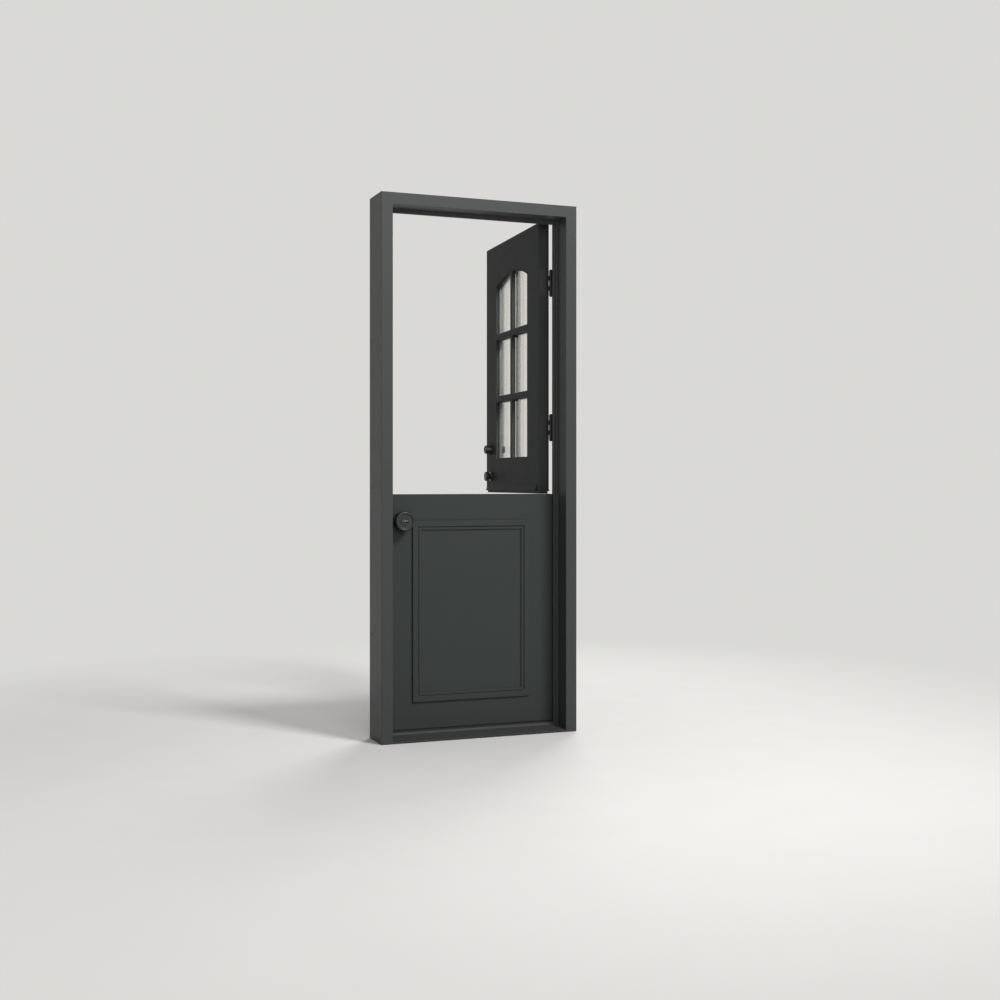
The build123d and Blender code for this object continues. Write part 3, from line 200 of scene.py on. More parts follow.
class StableDoorSizes(bpy.types.PropertyGroup):
    """Sizes of the small details."""

    moulding_width: length("Moulding width", "Width of the raised moulding's profile", 0.0395)
    moulding_height: length("Moulding height", "How far the moulding stands out", 0.009)
    gasket_width: length("Gasket width", "How far a gasket reaches over the pane", 0.0030)
    gasket_height: length("Gasket height", "How thick a glazing gasket is", 0.0026)
    gasket_corner: length("Gasket corner", "Radius of a gasket's corners", 0.0040)
    bar_width: length("Bar width", "Width of the window bars", 0.026)
    light_height: length("Light height", "Height of one light of the window", 0.249)
    arch_rise: length("Arch rise", "Rise of the window's arched head", 0.042)
    bar_edge: length("Bar edge", "Width of the eased edges on the window bars", 0.0010)
    screw_head: length("Screw head", "Radius of a countersunk head", 0.0042)
    screw_countersink: length("Countersink", "Depth of a countersunk head", 0.0020)
    screw_shank: length("Screw shank", "Radius of a screw's shank", 0.0022)
    screw_length: length("Screw length", "Length from head to tip", 0.0075)
    recess_length: length("Recess length", "Length of each arm pair of the recess", 0.0046)
    recess_width: length("Recess width", "Width of the cross recess", 0.0010)
    recess_depth: length("Recess depth", "Depth of the cross recess", 0.0012)
    knob_radius: length("Knob radius", "Radius of the keyed knob", 0.0375)
    plug_radius: length("Plug radius", "Radius of the plug at the knob's centre", 0.0140)
    key_slot_width: length("Key slot width", "Width of the slot across the plug", 0.0215)
    key_slot_height: length("Key slot height", "Height of the slot", 0.0105)
    key_slot_depth: length("Key slot depth", "Depth of the slot", 0.0080)
    key_bar: length("Key bar", "Radius of the bar across the slot", 0.0015)


class StableDoorColours(bpy.types.PropertyGroup):
    """Colours and gloss of the finishes."""

    frame_paint: colour("Frame paint", "Satin charcoal coat of the frame", (0.04, 0.044, 0.0425))
    # The leaves' copy of the charcoal paint is a shade darker than the frame's: painted shade.
    leaf_paint: colour("Leaf paint", "Satin charcoal coat of the leaves", (0.038, 0.0425, 0.04))
    sill_coat: colour("Sill coat", "Coat of the sill", (0.028, 0.031, 0.0305))
    hinge_black: colour("Hinge black", "Blackened steel of hinges and screws", (0.03, 0.03, 0.031))
    bolt_steel: colour("Bolt steel", "Bare steel of bolts, cases and strikes", (0.55, 0.55, 0.56))
    knob_black: colour("Knob black", "Black plate of knobs and roses", (0.0092, 0.0122, 0.0115))
    plug_steel: colour("Plug steel", "Dull steel of the key slot's bar", (0.17, 0.175, 0.175))
    seal_rubber: colour("Seal rubber", "Rubber of the seals and gaskets", (0.011, 0.011, 0.011))
    core_foam: colour("Core foam", "Rigid foam inside the leaves", (0.72, 0.66, 0.45))
    pane_glass: colour("Pane glass", "Tint of the panes", (0.965, 0.955, 0.915))
    spacer_metal: colour("Spacer metal", "Dull spacer between the panes", (0.15, 0.153, 0.15))
    dust: colour("Dust", "Fine dust that settles on upward faces", (0.3, 0.28, 0.25))
    paint_gloss: share("Paint roughness", "Roughness of the satin paint", 0.42)
    frame_sheen: share("Frame sheen", "How strongly the frame's paint mirrors", 0.15)
    # The leaves' sheen sits far below the frame's so their faces render darker: partly real satin
    # sheen, partly painted shade.
    leaf_sheen_dulled_for_shade: share("Leaf sheen", "How strongly the leaves' paint mirrors", 0.02)
    dust_amount: share("Dust amount", "Share of dust on faces that look up", 0.10)


class StableDoorStage(bpy.types.PropertyGroup):
    """Floor, light and camera."""

    backdrop: colour("Backdrop", "Pale colour behind the door", (0.7, 0.695, 0.68))
    floor_tone: colour("Floor", "Pale floor near the door", (0.72, 0.71, 0.695))
    ambient: share("Ambient", "Strength of the even light from all sides", 0.2, 4.0)
    key_light: power("Key light", "Lamp at the upper right", 325)
    front_light: power("Front light", "Weak lamp in front", 120)
    back_light: power("Back light", "Lamp indoors", 260)
    lens: bpy.props.FloatProperty(
        name="Lens", description="Focal length in millimetres", default=49.64, min=1, unit="CAMERA"
    )


def settings():
    """The values that the panel shows."""
    scene = bpy.context.scene
    return scene.stable_door_sizes, scene.stable_door_colours, scene.stable_door_stage


# Node helpers


def feed(tree, target, inputs):
    """Link or set each given input of a node."""
    for socket, value in inputs.items():
        if isinstance(value, bpy.types.NodeSocket):
            tree.links.new(value, target.inputs[socket])
        else:
            target.inputs[socket].default_value = value


def node(tree, kind, inputs=None, **options):
    """Add a node, set its options and feed its inputs."""
    made = tree.nodes.new(kind)
    for option, value in options.items():
        setattr(made, option, value)
    feed(tree, made, inputs or {})
    return made


def maths(tree, operation, *values):
    """The result of one maths operation on some numbers."""
    return node(
        tree, "ShaderNodeMath", dict(enumerate(values)), operation=operation
    ).outputs[0]


def vector(tree, x=0.0, y=0.0, z=0.0):
    """A vector from its three parts."""
    return node(tree, "ShaderNodeCombineXYZ", {"X": x, "Y": y, "Z": z}).outputs[0]


def length_of(tree, value):
    """The length of a vector."""
    return node(tree, "ShaderNodeVectorMath", {0: value}, operation="LENGTH").outputs["Value"]


def scaled(tree, value, factor):
    """A colour or vector times a number."""
    return node(
        tree, "ShaderNodeVectorMath", {0: value, "Scale": factor}, operation="SCALE"
    ).outputs[0]


def noise(tree, place, scale, detail=2.0):
    """Noise over the surface, from 0 to 1."""
    return node(
        tree, "ShaderNodeTexNoise", {"Vector": place, "Scale": scale, "Detail": detail}
    ).outputs[0]


def swing_about(tree, mask, centre, spread):
    """A mask from 0 to 1 turned into centre plus or minus half of spread."""
    offset = maths(tree, "SUBTRACT", mask, 0.5)
    return maths(tree, "MULTIPLY_ADD", offset, spread, centre)


def add_sockets(tree, direction, sockets):
    """Give a tree named inputs or outputs."""
    for name, kind in sockets.items():
        tree.interface.new_socket(name, in_out=direction, socket_type=kind)


def ends_of(tree):
    """What a tree is given, and the node that takes its results."""
    return node(tree, "NodeGroupInput").outputs, node(tree, "NodeGroupOutput")


def rgba(value):
    """A colour with full alpha."""
    return (*value, 1.0)


def empty_tree(owner):
    """The emptied node tree of a material or world."""
    owner.use_nodes = True
    owner.node_tree.nodes.clear()
    return owner.node_tree


# Shader groups that several finishes share


def shader_group(name, inputs, outputs):
    """A new shader group with its sockets and its two ends."""
    tree = bpy.data.node_groups.new(name, "ShaderNodeTree")
    add_sockets(tree, "INPUT", inputs)
    add_sockets(tree, "OUTPUT", outputs)
    return tree, *ends_of(tree)


def powder_coat_group():
    """Satin coat: slow changes of tone, soft patches of gloss and a fine orange peel."""
    tree, given, result = shader_group(
        "Powder coat",
        {
            "Place": VECTOR, "Colour": COLOUR, "Roughness": NUMBER,
            "Tone change": NUMBER, "Gloss change": NUMBER, "Peel scale": NUMBER,
        },
        {"Colour": COLOUR, "Roughness": NUMBER, "Height": NUMBER},
    )
    slow = noise(tree, given["Place"], TONE_SCALE, detail=3.0)
    patches = noise(tree, given["Place"], GLOSS_SCALE)
    tone = swing_about(tree, slow, 1.0, given["Tone change"])
    feed(tree, result, {
        "Colour": scaled(tree, given["Colour"], tone),
        "Roughness": swing_about(tree, patches, given["Roughness"], given["Gloss change"]),
        "Height": noise(tree, given["Place"], given["Peel scale"], detail=1.0),
    })
    return tree


def settled_dust_group():
    """Dust on faces that look up, broken by noise: a tinted colour and a rougher surface."""
    tree, given, result = shader_group(
        "Settled dust",
        {
            "Place": VECTOR, "Colour": COLOUR, "Roughness": NUMBER,
            "Dust": COLOUR, "Amount": NUMBER,
        },
        {"Colour": COLOUR, "Roughness": NUMBER},
    )
    facing = node(tree, "ShaderNodeNewGeometry").outputs["Normal"]
    up = node(tree, "ShaderNodeSeparateXYZ", {0: facing}).outputs["Z"]
    flat = node(tree, "ShaderNodeMapRange", {"Value": up, "From Min": DUSTY_FROM}).outputs[0]
    grains = noise(tree, given["Place"], DUST_SCALE, detail=4.0)
    broken = maths(tree, "MULTIPLY", flat, grains)
    mask = maths(tree, "MULTIPLY", broken, given["Amount"])
    mixed = node(
        tree, "ShaderNodeMix",
        {"Factor": mask, MIX_FIRST: given["Colour"], MIX_SECOND: given["Dust"]},
        data_type="RGBA",
    )
    feed(tree, result, {
        "Colour": mixed.outputs[MIX_RESULT],
        "Roughness": maths(tree, "MULTIPLY_ADD", mask, DUST_ROUGHENS, given["Roughness"]),
    })
    return tree


def brushed_grain_group():
    """Fine straight grain along one axis, as height and as changes of gloss and tone."""
    tree, given, result = shader_group(
        "Brushed grain",
        {
            "Place": VECTOR, "Stretch": VECTOR, "Colour": COLOUR,
            "Roughness": NUMBER, "Change": NUMBER,
        },
        {"Colour": COLOUR, "Roughness": NUMBER, "Height": NUMBER},
    )
    drawn = node(
        tree, "ShaderNodeVectorMath", {0: given["Place"], 1: given["Stretch"]},
        operation="MULTIPLY",
    ).outputs[0]
    grain = noise(tree, drawn, scale=1.0, detail=3.0)
    tone = swing_about(tree, grain, 1.0, given["Change"])
    feed(tree, result, {
        "Colour": scaled(tree, given["Colour"], tone),
        "Roughness": swing_about(tree, grain, given["Roughness"], given["Change"]),
        "Height": grain,
    })
    return tree


def turned_lines_group():
    """Fine rings about the Y axis of Place, as a lathe leaves them."""
    tree, given, result = shader_group(
        "Turned lines",
        {"Place": VECTOR, "Rings per metre": NUMBER, "Roughness": NUMBER},
        {"Roughness": NUMBER, "Height": NUMBER},
    )
    parts = node(tree, "ShaderNodeSeparateXYZ", {0: given["Place"]}).outputs
    across = vector(tree, parts["X"], parts["Z"])
    rings = maths(tree, "MULTIPLY", length_of(tree, across), given["Rings per metre"])
    lines = node(
        tree, "ShaderNodeTexNoise", {"W": rings, "Scale": 1.0, "Detail": 1.0},
        noise_dimensions="1D",
    ).outputs[0]
    feed(tree, result, {
        "Roughness": swing_about(tree, lines, given["Roughness"], RING_GLOSS_CHANGE),
        "Height": lines,
    })
    return tree


GROUP_MAKERS = {
    "coat": powder_coat_group,
    "dust": settled_dust_group,
    "grain": brushed_grain_group,
    "rings": turned_lines_group,
}
GROUPS = {}
FINISHES = {}


def use(tree, name, inputs):
    """Place a shared group in a material, built when it is first used."""
    if name not in GROUPS:
        GROUPS[name] = GROUP_MAKERS[name]()
    return node(tree, "ShaderNodeGroup", inputs, node_tree=GROUPS[name]).outputs


# Finishes


def new_finish(name):
    """An empty material with its Principled shader and Object coordinates."""
    made = bpy.data.materials.new(name)
    tree = empty_tree(made)
    shader = node(tree, "ShaderNodeBsdfPrincipled")
    node(tree, "ShaderNodeOutputMaterial", {"Surface": shader.outputs[0]})
    place = node(tree, "ShaderNodeTexCoord").outputs["Object"]
    return made, tree, shader, place


def coat(tree, place, base, tone, roughness=0.0, gloss=0.0, peel_scale=0.0):
    """The powder coat of a base colour, with how far its tone and gloss change."""
    return use(tree, "coat", {
        "Place": place, "Colour": rgba(base), "Roughness": roughness,
        "Tone change": tone, "Gloss change": gloss, "Peel scale": peel_scale,
    })


def bump(tree, height, strength, distance):
    """A normal from a height."""
    return node(
        tree, "ShaderNodeBump", {"Height": height, "Strength": strength, "Distance": distance}
    ).outputs[0]


def painted(name, base, roughness, sheen, tone=0.10, peel_scale=650.0, peel_strength=0.10):
    """Satin coat with a little dust on what looks up."""
    _, colours, _ = settings()
    made, tree, shader, place = new_finish(name)
    paint = coat(tree, place, base, tone, roughness, gloss=0.10, peel_scale=peel_scale)
    dusty = use(tree, "dust", {
        "Place": place, "Colour": paint["Colour"], "Roughness": paint["Roughness"],
        "Dust": rgba(colours.dust), "Amount": colours.dust_amount,
    })
    feed(tree, shader, {
        "Base Color": dusty["Colour"], "Roughness": dusty["Roughness"],
        "Specular IOR Level": sheen,
        "Normal": bump(tree, paint["Height"], peel_strength, distance=0.0003),
    })
    return made


def metal(name, base, roughness, stretch=UPRIGHT_GRAIN, metallic=1.0, change=0.14):
    """Metal with a straight grain."""
    made, tree, shader, place = new_finish(name)
    grain = use(tree, "grain", {
        "Place": place, "Stretch": stretch, "Colour": rgba(base),
        "Roughness": roughness, "Change": change,
    })
    feed(tree, shader, {
        "Base Color": grain["Colour"], "Roughness": grain["Roughness"],
        "Metallic": metallic,
        "Normal": bump(tree, grain["Height"], strength=0.12, distance=0.0001),
    })
    return made


def turned_black(name, base, axis_point, turn):
    """Black plate with lathe rings about one knob's axis, which may be turned with its leaf."""
    made, tree, shader, place = new_finish(name)
    centred = node(
        tree, "ShaderNodeMapping",
        {"Vector": place, "Location": axis_point, "Rotation": (0, 0, turn)},
        vector_type="TEXTURE",
    ).outputs[0]
    plate = coat(tree, place, base, tone=0.12, roughness=0.40, gloss=0.08, peel_scale=900.0)
    rings = use(tree, "rings", {
        "Place": centred, "Rings per metre": RINGS_PER_METRE, "Roughness": plate["Roughness"],
    })
    feed(tree, shader, {
        "Base Color": plate["Colour"], "Roughness": rings["Roughness"],
        "Specular IOR Level": 0.38, "Coat Weight": 0.12, "Coat Roughness": 0.3,
        "Normal": bump(tree, rings["Height"], strength=0.10, distance=0.0001),
    })
    return made


def matt(name, base, tone, roughness, gloss, peel_scale, strength, distance):
    """Matt stuff with a fine mottle, such as rubber or foam."""
    made, tree, shader, place = new_finish(name)
    skin = coat(tree, place, base, tone, roughness, gloss, peel_scale)
    feed(tree, shader, {
        "Base Color": skin["Colour"], "Roughness": skin["Roughness"],
        "Normal": bump(tree, skin["Height"], strength, distance),
    })
    return made


def glass(name, base):
    """Clear glass whose faint tint changes slowly over the pane."""
    made, tree, shader, place = new_finish(name)
    feed(tree, shader, {
        "Base Color": coat(tree, place, base, tone=0.03)["Colour"],
        "Roughness": 0.0, "Transmission Weight": 1.0, "IOR": 1.5,
    })
    return made


def finish_of(slot):
    """The material of a slot of the record, built the first time that it is asked for."""
    _, colours, _ = settings()
    gloss = colours.paint_gloss
    makers = {
        "frame_paint": lambda: painted(
            "frame_paint", colours.frame_paint, gloss, colours.frame_sheen
        ),
        # The leaves get a darker, duller copy of the frame's paint: painted shade on the leaves.
        "leaf_paint": lambda: painted("leaf_paint", colours.leaf_paint, gloss, colours.leaf_sheen_dulled_for_shade),
        "sill": lambda: painted(
            "sill_coat", colours.sill_coat, roughness=0.5, sheen=0.15,
            tone=0.2, peel_scale=500.0, peel_strength=0.2,
        ),
        "hinge_metal": lambda: metal(
            "hinge_black", colours.hinge_black, roughness=0.42, metallic=0.6
        ),
        "lock_steel": lambda: metal("bolt_steel", colours.bolt_steel, roughness=0.34),
        "knob_black": lambda: painted(
            "fitting_black", colours.knob_black, roughness=0.34, sheen=0.5,
            tone=0.12, peel_scale=900.0, peel_strength=0.05,
        ),
        "rubber": lambda: matt(
            "seal_rubber", colours.seal_rubber, tone=0.25, roughness=0.72, gloss=0.12,
            peel_scale=1400.0, strength=0.25, distance=0.0002,
        ),
        "foam": lambda: matt(
            "core_foam", colours.core_foam, tone=0.2, roughness=0.9, gloss=0.1,
            peel_scale=800.0, strength=0.6, distance=0.0006,
        ),
        "glass": lambda: glass("pane_glass", colours.pane_glass),
        "spacer": lambda: metal(
            "spacer_metal", colours.spacer_metal, roughness=0.48,
            stretch=SPACER_GRAIN, metallic=0.6, change=0.05,
        ),
    }
    if slot not in FINISHES:
        FINISHES[slot] = makers[slot]()
    return FINISHES[slot]


def dress(names, material=None):
    """Give CAD nodes the finish of their slot, or the one given."""
    for name in names:
        mesh = NODES[name].data
        mesh.materials.clear()
        mesh.materials.append(material or finish_of(SLOT_OF[name]))


# Geometry Nodes


def geometry_tree(name, inputs):
    """A new Geometry Nodes tree with its sockets and its two ends."""
    tree = bpy.data.node_groups.new(name, "GeometryNodeTree")
    add_sockets(tree, "INPUT", {"Geometry": GEOMETRY, **inputs})
    add_sockets(tree, "OUTPUT", {"Geometry": GEOMETRY})
    return tree, *ends_of(tree)


def close_tree(tree, geometry, material, result):
    """End a tree in plain geometry with its material."""
    plain = node(tree, "GeometryNodeRealizeInstances", {"Geometry": geometry}).outputs[0]
    finished = node(tree, "GeometryNodeSetMaterial", {"Geometry": plain, "Material": material})
    feed(tree, result, {"Geometry": finished.outputs[0]})


def block(tree, width, height, depth):
    """A rectangular block about the origin."""
    size = vector(tree, width, height, depth)
    return node(tree, "GeometryNodeMeshCube", {"Size": size}).outputs["Mesh"]


def lifted(tree, geometry, height):
    """A geometry moved along Z."""
    up = vector(tree, z=height)
    return node(
        tree, "GeometryNodeTransform", {"Geometry": geometry, "Translation": up}
    ).outputs[0]


def cut_from(tree, body, tool):
    """A mesh with a tool's shape cut out of it."""
    return node(
        tree, "GeometryNodeMeshBoolean", {"Mesh 1": body, "Mesh 2": tool},
        operation="DIFFERENCE", solver="EXACT",
    ).outputs["Mesh"]


def swept_rectangle_tree():
    """A profile swept round a rectangle, mitred at its corners."""
    tree, given, result = geometry_tree(
        "Swept rectangle", {"Width": NUMBER, "Height": NUMBER, "Material": MATERIAL}
    )
    path = node(
        tree, "GeometryNodeCurvePrimitiveQuadrilateral",
        {"Width": given["Width"], "Height": given["Height"]},
    ).outputs[0]
    profile = node(tree, "GeometryNodeMeshToCurve", {"Mesh": given["Geometry"]}).outputs[0]
    swept = node(tree, "GeometryNodeCurveToMesh", {"Curve": path, "Profile Curve": profile})
    close_tree(tree, swept.outputs[0], given["Material"], result)
    return tree


def gasket_tree():
    """A lip of rubber along each loop, its corners rounded."""
    tree, given, result = geometry_tree("Glazing gasket", {
        "Lip width": NUMBER, "Lip height": NUMBER, "Corner": NUMBER, "Material": MATERIAL,
    })
    loop = node(tree, "GeometryNodeMeshToCurve", {"Mesh": given["Geometry"]}).outputs[0]
    path = node(
        tree, "GeometryNodeFilletCurve",
        {"Curve": loop, "Radius": given["Corner"], "Count": GASKET_BENDS}, mode="POLY",
    ).outputs[0]
    circle = node(
        tree, "GeometryNodeCurvePrimitiveCircle", {"Resolution": GASKET_SIDES, "Radius": 1.0}
    ).outputs[0]
    squeeze = vector(tree, given["Lip width"], given["Lip height"], 1.0)
    profile = node(
        tree, "GeometryNodeTransform", {"Geometry": circle, "Scale": squeeze}
    ).outputs[0]
    swept = node(tree, "GeometryNodeCurveToMesh", {"Curve": path, "Profile Curve": profile})
    close_tree(tree, swept.outputs[0], given["Material"], result)
    return tree


def screw_shape(tree, given):
    """One countersunk screw with a cross recess, its head's face at the origin."""
    sink, shank_radius = given["Countersink"], given["Shank radius"]
    head = node(tree, "GeometryNodeMeshCone", {
        "Vertices": HEAD_SIDES, "Depth": sink,
        "Radius Top": given["Head radius"], "Radius Bottom": shank_radius,
    }).outputs["Mesh"]
    head = lifted(tree, head, maths(tree, "MULTIPLY", sink, -1.0))
    # The shank begins inside the head and tapers to its tip
    depth = maths(tree, "SUBTRACT", given["Length"], maths(tree, "MULTIPLY", sink, 0.5))
    shank = node(tree, "GeometryNodeMeshCone", {
        "Vertices": SHANK_SIDES, "Side Segments": SHANK_ROWS, "Depth": depth,
        "Radius Top": maths(tree, "MULTIPLY", shank_radius, SHANK_TOP),
        "Radius Bottom": maths(tree, "MULTIPLY", shank_radius, SHANK_TIP),
    }).outputs["Mesh"]
    shank = lifted(tree, shank, maths(tree, "MULTIPLY", given["Length"], -1.0))
    joined = node(
        tree, "GeometryNodeMeshBoolean", {"Mesh 2": head}, operation="UNION", solver="EXACT"
    )
    feed(tree, joined, {"Mesh 2": shank})
    screw = joined.outputs["Mesh"]
    deep = maths(tree, "MULTIPLY", given["Recess depth"], 2.0)
    long, thin = given["Recess length"], given["Recess width"]
    for width, height in ((long, thin), (thin, long)):
        screw = cut_from(tree, screw, block(tree, width, height, deep))
    return screw


def screws_tree():
    """A screw on each point, its head along the point's axis and turned at random."""
    tree, given, result = geometry_tree("Cross-recessed screws", {
        "Head radius": NUMBER, "Countersink": NUMBER, "Shank radius": NUMBER, "Length": NUMBER,
        "Recess length": NUMBER, "Recess width": NUMBER, "Recess depth": NUMBER,
        "Seed": WHOLE_NUMBER, "Material": MATERIAL,
    })
    axis = node(
        tree, "GeometryNodeInputNamedAttribute", {"Name": "axis"}, data_type="FLOAT_VECTOR"
    ).outputs[0]
    aligned = node(
        tree, "FunctionNodeAlignRotationToVector", {"Vector": axis}, axis="Z"
    ).outputs[0]
    angle = node(
        tree, "FunctionNodeRandomValue", {"Seed": given["Seed"], RANDOM_HIGHEST: math.tau},
        data_type="FLOAT",
    ).outputs[RANDOM_RESULT]
    spin = node(
        tree, "FunctionNodeAxisAngleToRotation", {"Axis": (0, 0, 1), "Angle": angle}
    ).outputs[0]
    turned = node(
        tree, "FunctionNodeRotateRotation", {0: aligned, 1: spin}, rotation_space="LOCAL"
    ).outputs[0]
    placed = node(tree, "GeometryNodeInstanceOnPoints", {
        "Points": given["Geometry"], "Instance": screw_shape(tree, given), "Rotation": turned,
    }).outputs[0]
    close_tree(tree, placed, given["Material"], result)
    return tree


def keyed_plug_tree():
    """A slot sunk across the face of a turned knob."""
    tree, given, result = geometry_tree("Keyed plug", {
        "Slot width": NUMBER, "Slot height": NUMBER, "Slot depth": NUMBER,
        "Face": NUMBER, "Material": MATERIAL,
    })
    deep = maths(tree, "MULTIPLY", given["Slot depth"], 2.0)
    slot = block(tree, given["Slot width"], given["Slot height"], deep)
    sunk = cut_from(tree, given["Geometry"], lifted(tree, slot, given["Face"]))
    close_tree(tree, sunk, given["Material"], result)
    return tree


# Meshes and pieces


def grow(tree, mesh, values):
    """Run a tree on a starting mesh and return the result as a plain mesh."""
    start = bpy.data.objects.new("start", mesh)
    bpy.context.scene.collection.objects.link(start)
    modifier = start.modifiers.new("shape", "NODES")
    modifier.node_group = tree
    for item in tree.interface.items_tree:
        if item.in_out == "INPUT" and item.name in values:
            modifier[item.identifier] = values[item.name]
    bpy.context.view_layer.update()
    graph = bpy.context.evaluated_depsgraph_get()
    grown = bpy.data.meshes.new_from_object(start.evaluated_get(graph), depsgraph=graph)
    bpy.data.objects.remove(start)
    bpy.data.meshes.remove(mesh)
    return grown


def clean(work):
    """Merge doubled points and turn every face outwards."""
    bmesh.ops.remove_doubles(work, verts=work.verts, dist=WELD_DISTANCE)
    bmesh.ops.recalc_face_normals(work, faces=work.faces)


def piece(name, mesh, place, body, replaced=()):
    """Put a mesh where it belongs and hang it on its body."""
    mesh.transform(place)
    work = bmesh.new()
    work.from_mesh(mesh)
    clean(work)
    work.to_mesh(mesh)
    work.free()
    mesh.shade_smooth()
    mesh.set_sharp_from_angle(angle=SMOOTH_BELOW)
    made = bpy.data.objects.new(name, mesh)
    bpy.context.scene.collection.objects.link(made)
    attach(made, body)
    if replaced:
        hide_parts(*replaced)
    return made


def loops_mesh(name, loops):
    """A mesh of closed loops of edges."""
    points, edges = [], []
    for loop in loops:
        first = len(points)
        points += [(x, y, 0) for x, y in loop]
        edges += [(first + i, first + (i + 1) % len(loop)) for i in range(len(loop))]
    mesh = bpy.data.meshes.new(name)
    mesh.from_pydata(points, edges, [])
    return mesh


def turned_mesh(name, outline):
    """A closed mesh turned about Z from (radius, height) points that begin and end on Z."""
    work = bmesh.new()
    verts = [work.verts.new((radius, 0, height)) for radius, height in outline]
    edges = [work.edges.new(pair) for pair in zip(verts, verts[1:])]
    bmesh.ops.spin(
        work, geom=verts + edges, axis=(0, 0, 1), cent=(0, 0, 0), angle=math.tau, steps=TURN_STEPS
    )
    clean(work)
    mesh = bpy.data.meshes.new(name)
    work.to_mesh(mesh)
    work.free()
    return mesh


def bend(start, corner, end):
    """Points of a smooth bend from start to end that leans towards a corner."""
    points = []
    for step in range(BEND_STEPS + 1):
        t = step / BEND_STEPS
        points.append(tuple(
            (1 - t) ** 2 * a + 2 * t * (1 - t) * b + t**2 * c
            for a, b, c in zip(start, corner, end)
        ))
    return points


def knob_outline(radius, plug, front, spindle_end):
    """The keyed knob's half section as (radius, distance from the leaf), spindle to face."""
    spindle, sleeve, neck, spigot, seat = 0.0050, 0.0100, 0.0155, -0.0060, 0.0085
    collar, back, ring, rim = neck + 0.003, seat + 0.0215, plug + 0.0032, radius - 0.0040
    dish, face = front - 0.0046, front - PLUG_SET_BACK
    return [
        # Spindle and sleeve, inside the leaf and the rose
        (0.0, spindle_end), (spindle, spindle_end), (spindle, spigot),
        (sleeve, spigot), (sleeve, seat),
        # Collar and neck
        (collar, seat), (collar, seat + 0.002), (neck, seat + 0.004), (neck, seat + 0.010),
        # Back of the head, from the neck out to the side
        *bend((neck, seat + 0.011), (neck, seat + 0.019), (radius - 0.004, seat + 0.021)),
        *bend((radius - 0.003, back), (radius, back + 0.0005), (radius, back + 0.0035)),
        # Rounded front edge and its fall into the dish
        *bend((radius, front - 0.0075), (radius, front - 0.0015), (rim, front)),
        *bend((rim - 0.0015, front), (rim - 0.0030, front), (rim - 0.0035, front - 0.0012)),
        *bend((rim - 0.0040, dish + 0.0015), (rim - 0.0045, dish), (rim - 0.0060, dish)),
        # Raised ring round the plug, and the plug's face
        (ring, dish), (ring - 0.0006, dish + 0.0010), (plug + 0.0012, dish + 0.0010),
        (plug + 0.0008, dish + 0.0002), (plug, dish + 0.0002),
        (plug, face - 0.0004), (plug - 0.0004, face), (0.0, face),
    ]


def islands(name):
    """The separate solids of a CAD node as lists of points, in the mesh's own order."""
    work = bmesh.new()
    work.from_mesh(NODES[name].data)
    bmesh.ops.remove_doubles(work, verts=work.verts, dist=WELD_DISTANCE)
    left, found = set(work.verts), []
    for first in work.verts:
        if first not in left:
            continue
        left.discard(first)
        waiting, members = [first], []
        while waiting:
            vert = waiting.pop()
            members.append(vert.co.copy())
            for link in vert.link_edges:
                other = link.other_vert(vert)
                if other in left:
                    left.discard(other)
                    waiting.append(other)
        found.append(members)
    work.free()
    return found


def box_of(points):
    """Lowest and highest corner of some points."""
    low = Vector(min(point[i] for point in points) for i in range(3))
    high = Vector(max(point[i] for point in points) for i in range(3))
    return low, high


def shut_box(name):
    """The box of a node of the upper leaf as it is when that leaf is closed."""
    return box_of([SWUNG_SHUT @ vertex.co for vertex in NODES[name].data.vertices])


def screw_points(name):
    """Where each screw's head is and which way it looks, read from the CAD screws."""
    turned_back = SWUNG_SHUT if BODY_OF[name] == "upper_leaf" else Matrix.Identity(4)
    forward = turned_back.inverted()
    places, axes = [], []
    for members in islands(name):
        points = [turned_back @ point for point in members]
        low, high = box_of(points)
        middle = (low + high) / 2
        widest = max(points, key=lambda point: (point.yz - middle.yz).length)
        looks = 1.0 if widest.x > middle.x else -1.0
        top = Vector((high.x if looks > 0 else low.x, middle.y, middle.z))
        places.append(forward @ top)
        axes.append(forward.to_3x3() @ Vector((looks, 0, 0)))
    return places, axes


def moulding_profile(width, height):
    """The moulding's cross section as (inward, outward) points, from its outer foot."""
    bead, step, quirk = 0.22 * height, 0.24 * height, 0.09 * height

    def quarter_round(inward, outward, radius):
        return [
            (inward + radius * math.sin(turn), outward - radius * (1 - math.cos(turn)))
            for turn in QUARTER_ROUND
        ]

    rise = [
        (bead * (1 - math.cos(turn)), height - bead * (1 - math.sin(turn)))
        for turn in QUARTER_ROUND
    ]
    crown = quarter_round(0.52 * width, height, step)
    groove = [(0.53 * width + step, 0.20 * height), (0.575 * width + step, 0.20 * height)]
    shelf_start = (0.585 * width + step, 0.76 * height)
    drop = quarter_round(0.85 * width, 0.74 * height, quirk)
    foot = [(0.86 * width + quirk, 0.06 * height), (width, 0.04 * height), (width, 0.0)]
    return [(0.0, 0.0), *rise, *crown, *groove, shelf_start, *drop, *foot]


def light_loops(half, bottom, top, bar, rise, light):
    """Outlines of the six lights, counter-clockwise, in the leaf's plane."""
    radius = (half**2 + rise**2) / (2 * rise)
    centre = top - radius
    loops = []
    for x0, x1 in ((-half, -bar / 2), (bar / 2, half)):
        along_arch = [x1 + (x0 - x1) * i / ARCH_STEPS for i in range(ARCH_STEPS + 1)]
        arch = [(x, centre + math.sqrt(radius**2 - x**2)) for x in along_arch]
        for row in range(LIGHT_ROWS):
            z0 = bottom + row * (light + bar)
            straight = [(x1, z0 + light), (x0, z0 + light)]
            loops.append([(x0, z0), (x1, z0), *(arch if row == LIGHT_ROWS - 1 else straight)])
    return loops


# Stage


